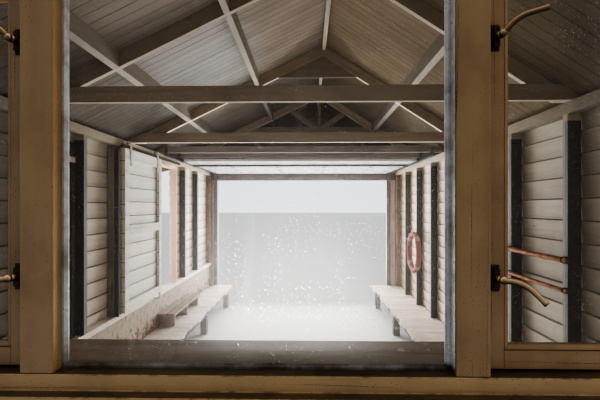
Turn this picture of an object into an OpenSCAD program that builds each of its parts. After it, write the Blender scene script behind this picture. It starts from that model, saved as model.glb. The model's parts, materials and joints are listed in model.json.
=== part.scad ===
// A wet boathouse: one hall over water between two plank walkways, open at the lake end.
// X runs across the hall, +Y towards the lake and +Z up from the foot of the foundations.

/* [Hall] */
// Clear width between the boards of the two long walls
hall_w = 4330; // [4100:10:4700]
// Clear length between the two end walls
hall_l = 7860; // [7600:20:8400]
// Thickness of the lapped boards of the long walls, from inside to outside
wall_t = 40; // [32:1:50]
// Thickness of the two end walls
end_t = 120; // [100:5:150]
// Top of the walkways above the foot of the building
walk_z = 450; // [350:10:550]
// Thickness of the foundation under the right wall
base_t = 120; // [100:5:130]
// Height of the brick base under the left wall
plinth_h = 900; // [860:10:960]
// Thickness of the brick base under the left wall
plinth_t = 115; // [105:5:125]
// Height of the sill on the brick base
sill_h = 60; // [40:5:80]
// How far the sill stands out from the brick base
sill_nose = 20; // [20:1:24]

/* [Frame] */
// Depth of a wall post, across the hall
post_d = 95; // [80:5:120]
// Width of a wall post, along the hall
post_w = 65; // [50:5:75]
// Width of a corner post at the lake end
corner_w = 130; // [100:10:160]
// Thickness of the dark sleeves on the posts
strip_t = 4; // [3:1:8]
// How far the sleeves reach along the posts' inner sides
strip_back = 32; // [20:1:45]
// Bare head of a post above its sleeve
bare_head = 55; // [10:5:80]
// Height of a wall plate
plate_h = 90; // [70:5:110]
// Top of the wall plates
plate_top = 3005; // [2960:5:3060]
// Thickness of the roof timbers
timber_t = 45; // [35:5:60]

/* [Roof] */
// Underside of the roof boards over the inner faces of the long walls
eaves_z = 3015; // [3010:5:3080]
// Underside of the roof boards at the ridge
ridge_z = 4217; // [4100:10:4400]
// Distance of the ridge from the middle of the hall
ridge_x = 310; // [200:10:400]
// Depth of a rafter, square to the slope
rafter_h = 115; // [95:5:150]
// Height of a tie beam
tie_h = 122; // [100:2:150]
// Distance of the first roof truss from the landward end wall
truss_in = 1880; // [1780:10:1980]
// Distance of the last roof truss from the lake end wall
truss_out = 280; // [240:10:340]
// Lower edge of the gusset plates under the ridge
gusset_z = 3815; // [3760:5:3860]
// Top of the raised collar
collar_z = 3580; // [3540:5:3620]
// Underside of the ridge beam
ridge_beam_z = 4150; // [4130:5:4160]
// Distance from the ridge to the upper left purlin
upper_purlin_x = 815; // [700:5:900]
// Distance from the ridge to the lower left purlin
lower_purlin_x = 1672; // [1550:5:1750]
// Distance from the ridge to the right purlin
right_purlin_x = 913; // [850:5:1000]
// Thickness of the roof boards
board_t = 25; // [18:1:35]
// Thickness of battens and tiles together
cover_t = 60; // [40:5:90]
// Overhang of the roof past the long walls
eaves_out = 250; // [150:10:350]
// Overhang of the roof past the end walls
verge_out = 150; // [110:10:250]

/* [Lake mouth] */
// Wall between the left boards and the mouth
mouth_left_in = 230; // [205:5:265]
// Wall between the right boards and the mouth
mouth_right_in = 280; // [245:5:305]
// Top of the mouth
mouth_z = 2810; // [2700:10:2860]
// Height of the lintel over the mouth
lintel_h = 165; // [120:5:200]

/* [Overhead door] */
// Gap between the raised door and the line of a jamb
lift_gap = 15; // [12:1:20]
// Length of the raised door along the hall
lift_l = 2500; // [2300:20:2520]
// Thickness of the raised door
lift_t = 40; // [30:2:42]
// Underside of the raised door
lift_z = 2955; // [2935:1:2958]
// Number of hinged panels in the raised door
lift_panels = 5; // [4:1:6]
// Height of a track of the raised door
track_h = 44; // [40:2:48]
// Width of a track of the raised door
track_w = 50; // [46:2:60]
// Metal thickness of the tracks
track_t = 4; // [3:1:6]
// Radius of the bends between the upright and the level runs of the tracks
bend_r = 235; // [200:5:240]
// Depth of the stiffening bar under the raised door
bar_h = 30; // [24:2:36]

/* [Sliding door] */
// Lake edge of the sliding leaf when it stands open
leaf_y = 620; // [616:2:640]
// Width of the sliding leaf
leaf_w = 1150; // [1100:10:1152]
// Thickness of the sliding leaf
leaf_t = 68; // [62:1:72]
// Thickness of the leaf's frame in front of its lapped boards
leaf_frame_t = 40; // [36:1:44]
// Height of one lapped board of the leaf
leaf_pitch = 168.5; // [160:0.5:176]
// Gap between the sliding leaf and the wall plate over it
leaf_head = 20; // [15:1:40]
// Gap under the sliding leaf
leaf_gap = 20; // [15:1:30]
// Gap between the wall posts and the sliding leaf
leaf_clear = 10; // [6:1:20]
// Landward edge of the side doorway
door_y = 610; // [600:2:614]
// Width of the side doorway
door_w = 910; // [860:10:930]
// Height of the side doorway over its sill
door_h = 1900; // [1850:10:1920]
// Thickness of the doorway lining
lining_t = 25; // [18:1:32]

/* [Walkways] */
// Water edge of the left walkway
left_walk_x = -1585; // [-1640:5:-1540]
// Water edge of the right walkway
right_walk_x = 1525; // [1480:5:1600]
// Thickness of the planks
plank_t = 32; // [25:1:40]
// Width of one plank with its gap
plank_w = 131; // [120:1:160]
// Height of the bearers
bearer_h = 120; // [100:5:150]
// Width of the bearers
bearer_w = 60; // [50:5:80]
// Width of the piles
pile_w = 110; // [80:5:140]
// Length of the step below the side doorway
step_l = 1400; // [1200:20:1500]
// Landward end of the step
step_y = 700; // [650:10:800]
// Depth of the step
step_d = 255; // [200:5:300]
// Height of the step over the walkway
step_h = 200; // [160:10:260]
// Thickness of the boards of the step
step_t = 40; // [28:2:50]

/* [Landward window] */
// Left edge of the fixed pane
pane_left = -553; // [-580:1:-530]
// Right edge of the fixed pane
pane_right = 495; // [470:1:520]
// Width of a mullion
mullion_w = 88; // [80:1:100]
// Width of a casement
casement_w = 560; // [480:5:640]
// Width of the jambs
jamb_w = 60; // [45:5:80]
// Top of the window board on the room side
board_z = 1774; // [1700:2:1776]
// Bottom edge of the casements
casement_z = 1780; // [1778:1:1790]
// Top edge of the casements
casement_top = 2840; // [2760:10:2850]
// Width of the casement stiles
stile_w = 49; // [40:1:60]
// Height of the casement bottom rail
rail_h = 49; // [40:1:60]
// Width of the glazing beads
bead_w = 13; // [10:1:18]
// How far the window frame stands out from the wall on the room side
frame_out = 17; // [10:1:24]
// Depth of the window frame through the wall
window_d = 122; // [112:1:126]
// Depth of the frame in front of the casements
rebate_d = 38; // [30:1:42]
// Depth of the casements through the wall
casement_d = 45; // [35:1:60]
// Thickness of the glass
glass_t = 4; // [3:1:6]
// How far the ledge under the window stands out past the frame
board_out = 30; // [10:5:60]
// How far the inner sill stands out into the hall
sill_out = 140; // [100:10:220]
// Thickness of both sills
window_sill_t = 46; // [35:1:50]

/* [Side window] */
// Landward edge of the side window
side_y = -1975; // [-1979:1:-1965]
// Width of the side window
side_w = 690; // [660:5:715]
// Height of the side window over the sill
side_h = 1870; // [1800:10:1900]
// Depth of the side window frame through the wall
side_frame_d = 75; // [60:5:90]
// Face width of the side window frame
side_frame = 50; // [40:2:60]
// Underside of the transom over the sill
transom_up = 1680; // [1600:10:1700]

/* [Fittings] */
// Outer diameter of the life ring
ring_d = 750; // [700:5:780]
// Thickness of the life ring
ring_t = 96; // [80:2:120]
// Height of the centre of the life ring
ring_z = 1400; // [1300:10:1500]
// Radius of the upper hanging rail
upper_hang_r = 22; // [16:1:26]
// Radius of the lower hanging rail
lower_hang_r = 17; // [12:1:22]
// Height of the upper hanging rail
upper_hang_z = 1810; // [1750:10:1900]
// Height of the lower hanging rail
lower_hang_z = 1580; // [1500:10:1650]

/* [Hidden] */
$fn = 32;

half_w = hall_w / 2;
half_l = hall_l / 2;
out_x = half_w + wall_t;
out_y = half_l + end_t;
sill_z = plinth_h + sill_h;
deck_z = walk_z - plank_t;
plinth_x = -out_x + plinth_t;
post_x = half_w - post_d;
mouth_left = -half_w + mouth_left_in;
mouth_right = half_w - mouth_right_in;
lift_left = mouth_left + lift_gap;
lift_right = mouth_right - lift_gap;
lift_start = half_l - 30 - lift_l;
plate_z = plate_top - plate_h;

// The two slopes of the roof, and what a depth square to a slope measures upright
left_slope = (ridge_z - eaves_z) / (half_w + ridge_x);
right_slope = (ridge_z - eaves_z) / (half_w - ridge_x);
left_up = sqrt(1 + pow(left_slope, 2));
right_up = sqrt(1 + pow(right_slope, 2));
left_eaves_x = -out_x - eaves_out;
right_eaves_x = out_x + eaves_out;
roof_y = out_y + verge_out;
tail_h = 75;

// Height of the slope lines that lie a depth below the roof boards' underside
function left_line(x, depth = 0) = eaves_z + (x + half_w) * left_slope - depth * left_up;
function right_line(x, depth = 0) = eaves_z + (half_w - x) * right_slope - depth * right_up;
function apex_x(depth) = (half_w * (right_slope - left_slope) + depth * (left_up - right_up))
                         / (left_slope + right_slope);
function apex(depth) = [apex_x(depth), left_line(apex_x(depth), depth)];

trusses = [for (i = [0:3]) -half_l + truss_in + i * (hall_l - truss_in - truss_out) / 3];
tied_trusses = [trusses[0], trusses[1], trusses[3]];
gusset_trusses = [trusses[0], trusses[1]];
bays = [for (i = [0:4]) [i == 0 ? -half_l : trusses[i - 1] + timber_t,
                         i == 4 ? half_l : trusses[i]]];
cross_beam_w = 60;
cross_beam_h = 95;
cross_beam_pitch = 610;
cross_beam_ys = [lift_start - 70 - cross_beam_pitch, lift_start - 70];

// Play between timbers that meet along a slope
seat = 0.1;

left_post_ys = [-3240, -2045, -1245, 1960, 2760];
right_post_start = -3720;
right_post_pitch = 835;
right_post_ys = [for (i = [0:8]) right_post_start + i * right_post_pitch];
ring_post = 7;
door_post_t = 60;
door_post_d = 80;
door_seal_w = 50;
door_seal_t = 25;

leaf_x = -post_x + leaf_clear;
leaf_start = leaf_y - leaf_w;
leaf_z = sill_z + leaf_gap;
leaf_top = plate_z - leaf_head;
leaf_h = leaf_top - leaf_z;
leaf_back = leaf_t - leaf_frame_t;
leaf_lean = 10;
near_stile = 105;
far_stile = 90;
foot_rail_h = 110;
mid_rail_z = 905;
mid_rail_h = 110;
top_rail_h = 130;

window_left = pane_left - mullion_w - casement_w - jamb_w;
window_right = pane_right + mullion_w + casement_w + jamb_w;
window_z = board_z - window_sill_t;
window_head = casement_top + jamb_w;
frame_y = -out_y - frame_out;
casement_y = frame_y + rebate_d;
glass_y = casement_y + 15;
stop_w = 12;
bead_in = 3;
sill_split_y = -out_y + 45;
ledge_t = 30;

handle_plate_w = 21;
handle_plate_h = 70;
handle_plate_t = 4;
handle_boss_r = 8;
handle_boss_l = 26;
handle_r = 5.5;
handle_knee_r = 6.5;
handle_tip_r = 4;
handle_knee_l = 32;
handle_end_l = 74;
handle_turns = [[-7, -49], [45, 14]];
handle_z = [casement_z + 242, casement_top - 183];

track_z = lift_z + lift_t / 2 - track_h / 2;
roller_r = track_h / 2 - track_t;
roller_in = 60;
roller_out = 9;
roller_w = 16;
bar_in = 10;
bar_w = 90;
bend_y = half_l - track_h / 2 - bend_r;
bend_z = lift_z + lift_t / 2 - bend_r;
flange_w = 30;
strap_w = 40;
strap_h = 80;

// A flat profile in X and Z drawn out along the hall from y0 to y1
module along(y0, y1) {
    translate([0, y1, 0]) rotate([90, 0, 0]) linear_extrude(y1 - y0) children();
}

// A block given by its lowest and highest corners
module block(a, b) {
    translate(a) cube(b - a);
}

// The part of an end wall between two heights that fits under the roof boards
module under_roof(z0, z1) {
    intersection() {
        polygon([[-out_x, 0], [-out_x, left_line(-out_x)], [ridge_x, ridge_z],
                 [out_x, right_line(out_x)], [out_x, 0]]);
        translate([-out_x, z0]) square([2 * out_x, z1 - z0]);
    }
}

// A level timber between the long walls, its upper corners cut to the roof
module level_timber(h) {
    intersection() {
        polygon([[-half_w, plate_top], [-half_w, eaves_z], [ridge_x, ridge_z],
                 [half_w, eaves_z], [half_w, plate_top]]);
        translate([-half_w, plate_top]) square([hall_w, h]);
    }
}

// The space below the rafters' undersides
module below_rafters() {
    polygon([[-half_w, left_line(-half_w, rafter_h + seat)], apex(rafter_h + seat),
             [half_w, right_line(half_w, rafter_h + seat)]]);
}

module landward_wall_below() color("burlywood")
    block([-out_x, -out_y, 0], [out_x, -half_l, window_z]);

module landward_wall_sides() color("burlywood") {
    block([-out_x, -out_y, window_z], [window_left, -half_l, window_head]);
    block([window_right, -out_y, window_z], [out_x, -half_l, window_head]);
}

module landward_gable() color("burlywood")
    along(-out_y, -half_l) under_roof(window_head, ridge_z);

casement_xs = [window_left + jamb_w, pane_right + mullion_w];

// A flat ring round an opening, drawn inwards
module bead_ring(w, h) {
    difference() {
        square([w, h]);
        translate([bead_w, bead_w]) square([w - 2 * bead_w, h - 2 * bead_w]);
    }
}

// Face of the window frame, with the casements' openings drawn in at their sides and top and from a foot height
module window_face(inset, foot) {
    difference() {
        translate([window_left, board_z]) square([window_right - window_left, window_head - board_z]);
        translate([pane_left, board_z - 1]) square([pane_right - pane_left, casement_top - board_z + 1]);
        for (x = casement_xs)
            translate([x + inset, foot]) square([casement_w - 2 * inset, casement_top - inset - foot]);
    }
}

// Head, jambs and two mullions of the triple window, stops behind the casements, and the fixed pane's bead
module window_frame() color("tan") {
    along(frame_y, casement_y + casement_d) window_face(0, board_z - 1);
    along(casement_y + casement_d, frame_y + window_d) window_face(stop_w, casement_z + stop_w);
    along(casement_y, glass_y) translate([pane_left, board_z])
        bead_ring(pane_right - pane_left, casement_top - board_z);
}

module casement(x) {
    fit = 3;
    clear_w = casement_w - 2 * fit - 2 * stile_w;
    clear_h = casement_top - casement_z - fit - rail_h - stile_w;
    translate([x + fit, 0, casement_z]) {
        along(casement_y, casement_y + casement_d) difference() {
            square([casement_w - 2 * fit, casement_top - casement_z - fit]);
            translate([stile_w, rail_h]) square([clear_w, clear_h]);
        }
        along(casement_y + bead_in, glass_y) translate([stile_w, rail_h]) bead_ring(clear_w, clear_h);
    }
}

module casements() color("wheat") for (x = casement_xs) casement(x);

module window_glass() color("lightblue") {
    block([pane_left, glass_y, board_z], [pane_right, glass_y + glass_t, casement_top]);
    for (x = casement_xs)
        block([x + 3 + stile_w, glass_y, casement_z + rail_h],
              [x + casement_w - 3 - stile_w, glass_y + glass_t, casement_top - 3 - stile_w]);
}

// Plate, boss and bent lever of one casement fastener
module lever(x, z, side, turns) {
    translate([x, casement_y, z]) {
        translate([-handle_plate_w / 2, -handle_plate_t, -handle_plate_h / 2])
            cube([handle_plate_w, handle_plate_t, handle_plate_h]);
        translate([0, -handle_plate_t, 0]) rotate([90, 0, 0]) cylinder(h = handle_boss_l, r = handle_boss_r);
        translate([0, -handle_boss_l + 2, 0]) rotate([0, 0, side > 0 ? 0 : 180]) {
            rotate([0, 90 - turns[0], 0]) cylinder(h = handle_knee_l, r = handle_r);
            translate(handle_knee_l * [cos(turns[0]), 0, sin(turns[0])]) {
                sphere(r = handle_knee_r, $fn = 16);
                rotate([0, 90 - turns[1], 0]) cylinder(h = handle_end_l, r1 = handle_r, r2 = handle_tip_r);
            }
        }
    }
}

module window_handles() color("saddlebrown") for (k = [0, 1]) {
    lever(pane_right + mullion_w + 3 + stile_w / 2, handle_z[k], 1, handle_turns[k]);
    lever(pane_left - mullion_w - 3 - stile_w / 2, handle_z[k], -1, handle_turns[k]);
}

// Bottom member of the window, with a ledge under it on the room side
module window_board() color("tan") {
    block([window_left, frame_y, window_z], [window_right, sill_split_y, board_z]);
    block([window_left, frame_y - board_out, window_z - ledge_t], [window_right, -out_y, window_z]);
}

module hall_sill() color("gray")
    block([window_left, sill_split_y, window_z], [window_right, -half_l + sill_out, board_z]);

module lake_wall_sides() color("rosybrown") {
    block([-out_x, half_l, 0], [mouth_left, out_y, mouth_z]);
    block([mouth_right, half_l, 0], [out_x, out_y, mouth_z]);
}

module lake_lintel() color("rosybrown")
    along(half_l, out_y) under_roof(mouth_z, mouth_z + lintel_h);

module lake_gable() color("burlywood")
    along(half_l, out_y) under_roof(mouth_z + lintel_h, ridge_z);

module left_plinth() color("firebrick")
    block([-out_x, -half_l, 0], [plinth_x, half_l, plinth_h]);

module left_sill() color("wheat")
    block([-out_x, -half_l, plinth_h], [plinth_x + sill_nose, half_l, sill_z]);

// A stretch of the left wall from a height up to the roof boards
module left_wall(y0, y1, z0) {
    along(y0, y1) polygon([[-out_x, z0], [-half_w, z0], [-half_w, eaves_z],
                           [-out_x, left_line(-out_x)]]);
}

module left_wall_rear() color("linen") left_wall(-half_l, side_y, sill_z);
module left_wall_middle() color("linen") left_wall(side_y + side_w, door_y, sill_z);
module left_wall_front() color("linen") left_wall(door_y + door_w, half_l, sill_z);

module left_wall_over_openings() color("linen") {
    left_wall(side_y, side_y + side_w, sill_z + side_h);
    left_wall(door_y, door_y + door_w, sill_z + door_h);
}

// Boards that line the side doorway through boards and posts
module doorway_lining() color("pink")
    translate([-half_w, 0, sill_z]) rotate([90, 0, 90]) linear_extrude(post_d) difference() {
        translate([door_y, 0]) square([door_w, door_h]);
        translate([door_y + lining_t, -1]) square([door_w - 2 * lining_t, door_h - lining_t + 1]);
    }

module side_window_frame() color("dimgray")
    translate([-out_x, 0, sill_z]) rotate([90, 0, 90]) linear_extrude(side_frame_d) difference() {
        translate([side_y, 0]) square([side_w, side_h]);
        translate([side_y + side_frame, side_frame])
            square([side_w - 2 * side_frame, transom_up - side_frame]);
        translate([side_y + side_frame, transom_up + side_frame])
            square([side_w - 2 * side_frame, side_h - transom_up - 2 * side_frame]);
    }

module side_window_glass() color("slategray") translate([-out_x + side_frame_d / 2, 0, sill_z]) {
    block([0, side_y + side_frame, side_frame], [glass_t, side_y + side_w - side_frame, transom_up]);
    block([0, side_y + side_frame, transom_up + side_frame],
          [glass_t, side_y + side_w - side_frame, side_h - side_frame]);
}

module right_foundation() color("gray")
    block([out_x - base_t, -half_l, 0], [out_x, half_l, deck_z]);

module right_wall() color("linen")
    along(-half_l, half_l) polygon([[half_w, deck_z], [out_x, deck_z], [out_x, right_line(out_x)],
                                    [half_w, eaves_z]]);

module left_posts() color("wheat") for (y = left_post_ys)
    block([-half_w, y, sill_z], [-post_x, y + post_w, plate_z]);

module right_posts() color("wheat") for (y = right_post_ys)
    block([post_x, y, walk_z], [half_w, y + post_w, plate_z]);

// Dark sleeve round the landward face of a post and part of its inner side. The door post has a flat seal.
module sleeve(h) {
    linear_extrude(h) polygon([[0, -strip_t], [post_d + strip_t, -strip_t], [post_d + strip_t, strip_back],
                               [post_d, strip_back], [post_d, 0], [0, 0]]);
}

module post_sleeves() color("darkslategray") {
    for (y = left_post_ys) translate([-half_w, y, sill_z]) sleeve(plate_z - bare_head - sill_z);
    for (y = right_post_ys)
        translate([half_w, y, walk_z]) mirror([1, 0, 0]) sleeve(plate_z - bare_head - walk_z);
    seal_y = leaf_start - 10 - door_post_t;
    block([-half_w + door_post_d, seal_y, sill_z],
          [-half_w + door_post_d + door_seal_w, seal_y + door_seal_t, plate_z - bare_head]);
}

module door_post() color("tan")
    block([-half_w, leaf_start - 10 - door_post_t, sill_z],
          [-half_w + door_post_d, leaf_start - 10, plate_z]);

module corner_posts() color("sienna") {
    block([-half_w, half_l - corner_w, sill_z], [-post_x, half_l, plate_z]);
    block([post_x, half_l - corner_w, walk_z], [half_w, half_l, plate_z]);
}

module wall_plates() color("wheat") {
    block([-half_w, -half_l, plate_z], [-post_x, half_l, plate_top]);
    block([post_x, -half_l, plate_z], [half_w, half_l, plate_top]);
}

module left_rafters() color("tan") for (y = trusses) {
    foot_x = -half_w + (plate_top - eaves_z + rafter_h * left_up) / left_slope;
    along(y, y + timber_t) polygon([[-half_w, plate_top], [-half_w, eaves_z], [ridge_x, ridge_z],
                                    apex(rafter_h), [foot_x, plate_top]]);
    along(y, y + timber_t) polygon([[-out_x, left_line(-out_x)], [left_eaves_x, left_line(left_eaves_x)],
                                    [left_eaves_x, left_line(left_eaves_x) - tail_h],
                                    [-out_x, left_line(-out_x, rafter_h)]]);
}

module right_rafters() color("tan") for (y = trusses) {
    foot_x = half_w - (plate_top - eaves_z + rafter_h * right_up) / right_slope;
    along(y, y + timber_t) polygon([[half_w, plate_top], [half_w, eaves_z], [ridge_x, ridge_z],
                                    apex(rafter_h), [foot_x, plate_top]]);
    along(y, y + timber_t) polygon([[out_x, right_line(out_x)], [right_eaves_x, right_line(right_eaves_x)],
                                    [right_eaves_x, right_line(right_eaves_x) - tail_h],
                                    [out_x, right_line(out_x, rafter_h)]]);
}

module tie_beams() color("tan") for (y = tied_trusses)
    along(y - timber_t, y) level_timber(tie_h);

module gusset_plates() color("tan") for (y = gusset_trusses)
    along(y, y + timber_t) intersection() {
        below_rafters();
        translate([-half_w, gusset_z]) square([hall_w, ridge_z]);
    }

// Raised collar with an upright and two slanting struts
module collar_truss() color("sienna") along(trusses[2], trusses[2] + timber_t) intersection() {
    below_rafters();
    union() {
        translate([-half_w, collar_z - tie_h]) square([hall_w, tie_h]);
        translate([ridge_x - timber_t / 2, collar_z - tie_h]) square([timber_t, ridge_z]);
        for (side = [-1, 1]) translate([ridge_x, collar_z - tie_h / 2]) rotate(90 - side * 55)
            translate([0, -timber_t]) square([half_w, 2 * timber_t]);
    }
}

module cross_beams() color("sienna") for (y = cross_beam_ys)
    along(y, y + cross_beam_w) level_timber(cross_beam_h);

module ridge_beam() color("tan") for (bay = bays) along(bay[0], bay[1])
    polygon([[ridge_x - timber_t / 2, ridge_beam_z], [ridge_x + timber_t / 2, ridge_beam_z],
             [ridge_x + timber_t / 2, right_line(ridge_x + timber_t / 2)], [ridge_x, ridge_z],
             [ridge_x - timber_t / 2, left_line(ridge_x - timber_t / 2)]]);

// Corners of a purlin's section, as a side and a depth below the roof boards
purlin_corners = [[-1, rafter_h], [1, rafter_h], [1, seat], [-1, seat]];

module purlins() color("tan") for (bay = bays) along(bay[0], bay[1]) {
    for (x = [ridge_x - upper_purlin_x, ridge_x - lower_purlin_x])
        polygon([for (c = purlin_corners) [x + c[0] * timber_t / 2, left_line(x + c[0] * timber_t / 2, c[1])]]);
    right_x = ridge_x + right_purlin_x;
    polygon([for (c = purlin_corners)
             [right_x + c[0] * timber_t / 2, right_line(right_x + c[0] * timber_t / 2, c[1])]]);
}

// One layer of the roof on the left slope, between two depths
module left_layer(low, high, x0) {
    along(-roof_y, roof_y) polygon([[x0, left_line(x0, low)], apex(low), apex(high),
                                    [x0, left_line(x0, high)]]);
}

module right_layer(low, high, x0) {
    along(-roof_y, roof_y) polygon([[x0, right_line(x0, low)], apex(low), apex(high),
                                    [x0, right_line(x0, high)]]);
}

module left_roof_boards() color("linen") left_layer(0, -board_t, left_eaves_x);
module right_roof_boards() color("linen") right_layer(0, -board_t, right_eaves_x);
module left_roof_cover() color("indianred") left_layer(-board_t, -board_t - cover_t, left_eaves_x);
module right_roof_cover() color("indianred") right_layer(-board_t, -board_t - cover_t, right_eaves_x);

// Half-round ridge tiles in one run
module ridge_cap() color("brown") {
    cap_r = 110;
    cap_z = apex(-board_t - cover_t)[1] - 20;
    difference() {
        translate([ridge_x, roof_y, cap_z]) rotate([90, 0, 0]) cylinder(h = 2 * roof_y, r = cap_r);
        along(-roof_y - 1, roof_y + 1) polygon([
            [left_eaves_x, left_line(left_eaves_x, -board_t - cover_t)], apex(-board_t - cover_t),
            [right_eaves_x, right_line(right_eaves_x, -board_t - cover_t)], [right_eaves_x, 0],
            [left_eaves_x, 0]]);
    }
}

// Boards under the roof's edge at both gables
module bargeboards() color("wheat") {
    barge_h = 150;
    for (y = [-roof_y, roof_y - board_t]) along(y, y + board_t)
        polygon([[left_eaves_x, left_line(left_eaves_x)], [ridge_x, ridge_z],
                 [right_eaves_x, right_line(right_eaves_x)],
                 [right_eaves_x, right_line(right_eaves_x) - barge_h],
                 apex(barge_h), [left_eaves_x, left_line(left_eaves_x) - barge_h]]);
}

// How far plank i reaches past the walkway's edge
function uneven(i) = 9 * sin(i * 137) + 7 * sin(i * 61);
plank_count = floor(hall_l / plank_w);

module walkway(x0, x1, side) {
    along_deck = [for (i = [0:plank_count - 1]) for (k = [0, 1])
        [x1 + side * uneven(i), -half_l + (i + k) * (hall_l / plank_count)]];
    translate([0, 0, deck_z]) linear_extrude(plank_t)
        polygon(concat([[x0, -half_l]], along_deck, [[x0, half_l]]));
}

module left_walkway() color("silver") walkway(plinth_x, left_walk_x, 1);
module right_walkway() color("silver") walkway(half_w, right_walk_x, -1);

left_bearers = [plinth_x + 60, left_walk_x - 140];
right_bearers = [right_walk_x + 80, out_x - base_t - bearer_w - pile_w / 2];
pile_in = 200;
pile_ys = [for (i = [0:4]) -half_l + pile_in + i * (hall_l - 2 * pile_in - pile_w) / 4];

module walkway_bearers() color("peru") for (x = concat(left_bearers, right_bearers))
    block([x, -half_l, deck_z - bearer_h], [x + bearer_w, half_l, deck_z]);

module walkway_piles() color("peru") for (x = concat(left_bearers, right_bearers), y = pile_ys)
    block([x + (bearer_w - pile_w) / 2, y, 0],
          [x + (bearer_w + pile_w) / 2, y + pile_w, deck_z - bearer_h]);

// Step below the side doorway: a top board on three upright boards
module door_step() color("silver") {
    block([plinth_x, step_y, walk_z + step_h - step_t], [plinth_x + step_d, step_y + step_l, walk_z + step_h]);
    for (y = [step_y + 60, step_y + (step_l - step_t) / 2, step_y + step_l - 60 - step_t])
        block([plinth_x, y, walk_z], [plinth_x + step_d - 20, y + step_t, walk_z + step_h - step_t]);
}

// Raised door of hinged panels, with grooves between them, a stiffening bar and a roller at each panel's ends
module overhead_door() color("whitesmoke") {
    panel_l = lift_l / lift_panels;
    groove = [6, 8];
    difference() {
        block([lift_left, lift_start, lift_z], [lift_right, lift_start + lift_l, lift_z + lift_t]);
        for (i = [1:lift_panels - 1])
            block([lift_left - 1, lift_start + i * panel_l - groove[0] / 2, lift_z - 1],
                  [lift_right + 1, lift_start + i * panel_l + groove[0] / 2, lift_z + groove[1]]);
    }
    translate([0, lift_start + panel_l + bar_in, lift_z - bar_h])
        block([lift_left, 0, 0], [lift_right, bar_w, bar_h]);
    for (i = [0:lift_panels - 1], end = [[lift_left, -1], [lift_right, 1]])
        translate([end[0], lift_start + i * panel_l + roller_in, lift_z + lift_t / 2])
            rotate([0, end[1] * 90, 0]) {
                cylinder(h = lift_gap + roller_out, r = 6);
                translate([0, 0, lift_gap + roller_out]) cylinder(h = roller_w, r = roller_r);
            }
}

// A channel of the tracks, open towards the door
module track_profile() {
    difference() {
        square([track_w, track_h]);
        translate([-1, track_t]) square([track_w - track_t + 1, track_h - 2 * track_t]);
    }
}

// One track: a level run, a quarter bend and an upright run with its flange on the lake wall, hung on straps
module track() {
    along(cross_beam_ys[0] - 20, bend_y) translate([0, track_z]) track_profile();
    translate([0, bend_y, bend_z]) rotate([0, 90, 0]) rotate([0, 0, 90]) rotate_extrude(angle = 90)
        translate([bend_r - track_h / 2, 0]) mirror([1, -1]) track_profile();
    translate([0, half_l - track_h, walk_z]) linear_extrude(bend_z - walk_z) track_profile();
    block([track_w, half_l - track_t, walk_z], [track_w + flange_w, half_l, bend_z]);
    for (y = concat(cross_beam_ys, [tied_trusses[2] - timber_t]))
        block([track_w - strap_w, y - track_t, track_z + track_h], [track_w, y, plate_top + strap_h]);
}

module overhead_door_tracks() color("silver") {
    translate([mouth_right, 0, 0]) track();
    translate([mouth_left, 0, 0]) mirror([1, 0, 0]) track();
}

// Height of ledge i of the leaf's lapped boards over its foot
function leaf_ledge(i) = min(leaf_h, foot_rail_h + i * leaf_pitch);
leaf_boards = ceil((leaf_h - foot_rail_h) / leaf_pitch);

// Framed leaf with lapped boards on its wall side, each board's foot leaning back behind the next one's top
module sliding_door() color("wheat") translate([leaf_x, leaf_start, leaf_z]) {
    frame_x = leaf_back - leaf_lean;
    block([frame_x, 0, 0], [leaf_t, near_stile, leaf_h]);
    block([frame_x, leaf_w - far_stile, 0], [leaf_t, leaf_w, leaf_h]);
    for (rail = [[0, foot_rail_h], [mid_rail_z, mid_rail_z + mid_rail_h], [leaf_h - top_rail_h, leaf_h]])
        block([frame_x, near_stile, rail[0]], [leaf_t, leaf_w - far_stile, rail[1]]);
    along(0, leaf_w) polygon(concat(
        [[0, 0], [leaf_back, 0], [leaf_back, foot_rail_h]],
        [for (i = [1:leaf_boards]) each [[leaf_back - leaf_lean, leaf_ledge(i - 1)], [leaf_back, leaf_ledge(i)]]],
        [[0, leaf_h]]));
}

rail_travel = 930;
spacer_in = 60;
guide_in = 130;
rail_t = 8;
rail_h2 = 40;
rail_z = leaf_top + 10;
rail_x = leaf_x + (leaf_t - rail_t) / 2;
wheel_r = 26;
wheel_groove = 5;
wheel_w = 24;
hanger_in = 150;
hanger_t = 6;
hanger_w = 50;
hanger_down = 200;
hanger_over = 15;
axle_r = 7;
wheel_play = 0.3;

// Straps with grooved wheels that carry the leaf on its rail
module door_hangers() color("dimgray") for (y = [leaf_start + hanger_in, leaf_y - hanger_in]) {
    wheel_z = rail_z + rail_h2 + wheel_r - wheel_groove + wheel_play;
    translate([rail_x + rail_t / 2, y, wheel_z]) rotate([0, 90, 0]) {
        rotate_extrude() polygon([[0, -wheel_w / 2], [wheel_r, -wheel_w / 2], [wheel_r, -rail_t / 2 - 1],
                                  [wheel_r - wheel_groove, -rail_t / 2 - 1],
                                  [wheel_r - wheel_groove, rail_t / 2 + 1],
                                  [wheel_r, rail_t / 2 + 1], [wheel_r, wheel_w / 2], [0, wheel_w / 2]]);
        cylinder(h = leaf_t / 2 + hanger_t, r = axle_r);
    }
    block([leaf_x + leaf_t, y - hanger_w / 2, leaf_top - hanger_down],
          [leaf_x + leaf_t + hanger_t, y + hanger_w / 2, wheel_z + hanger_over]);
}

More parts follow.
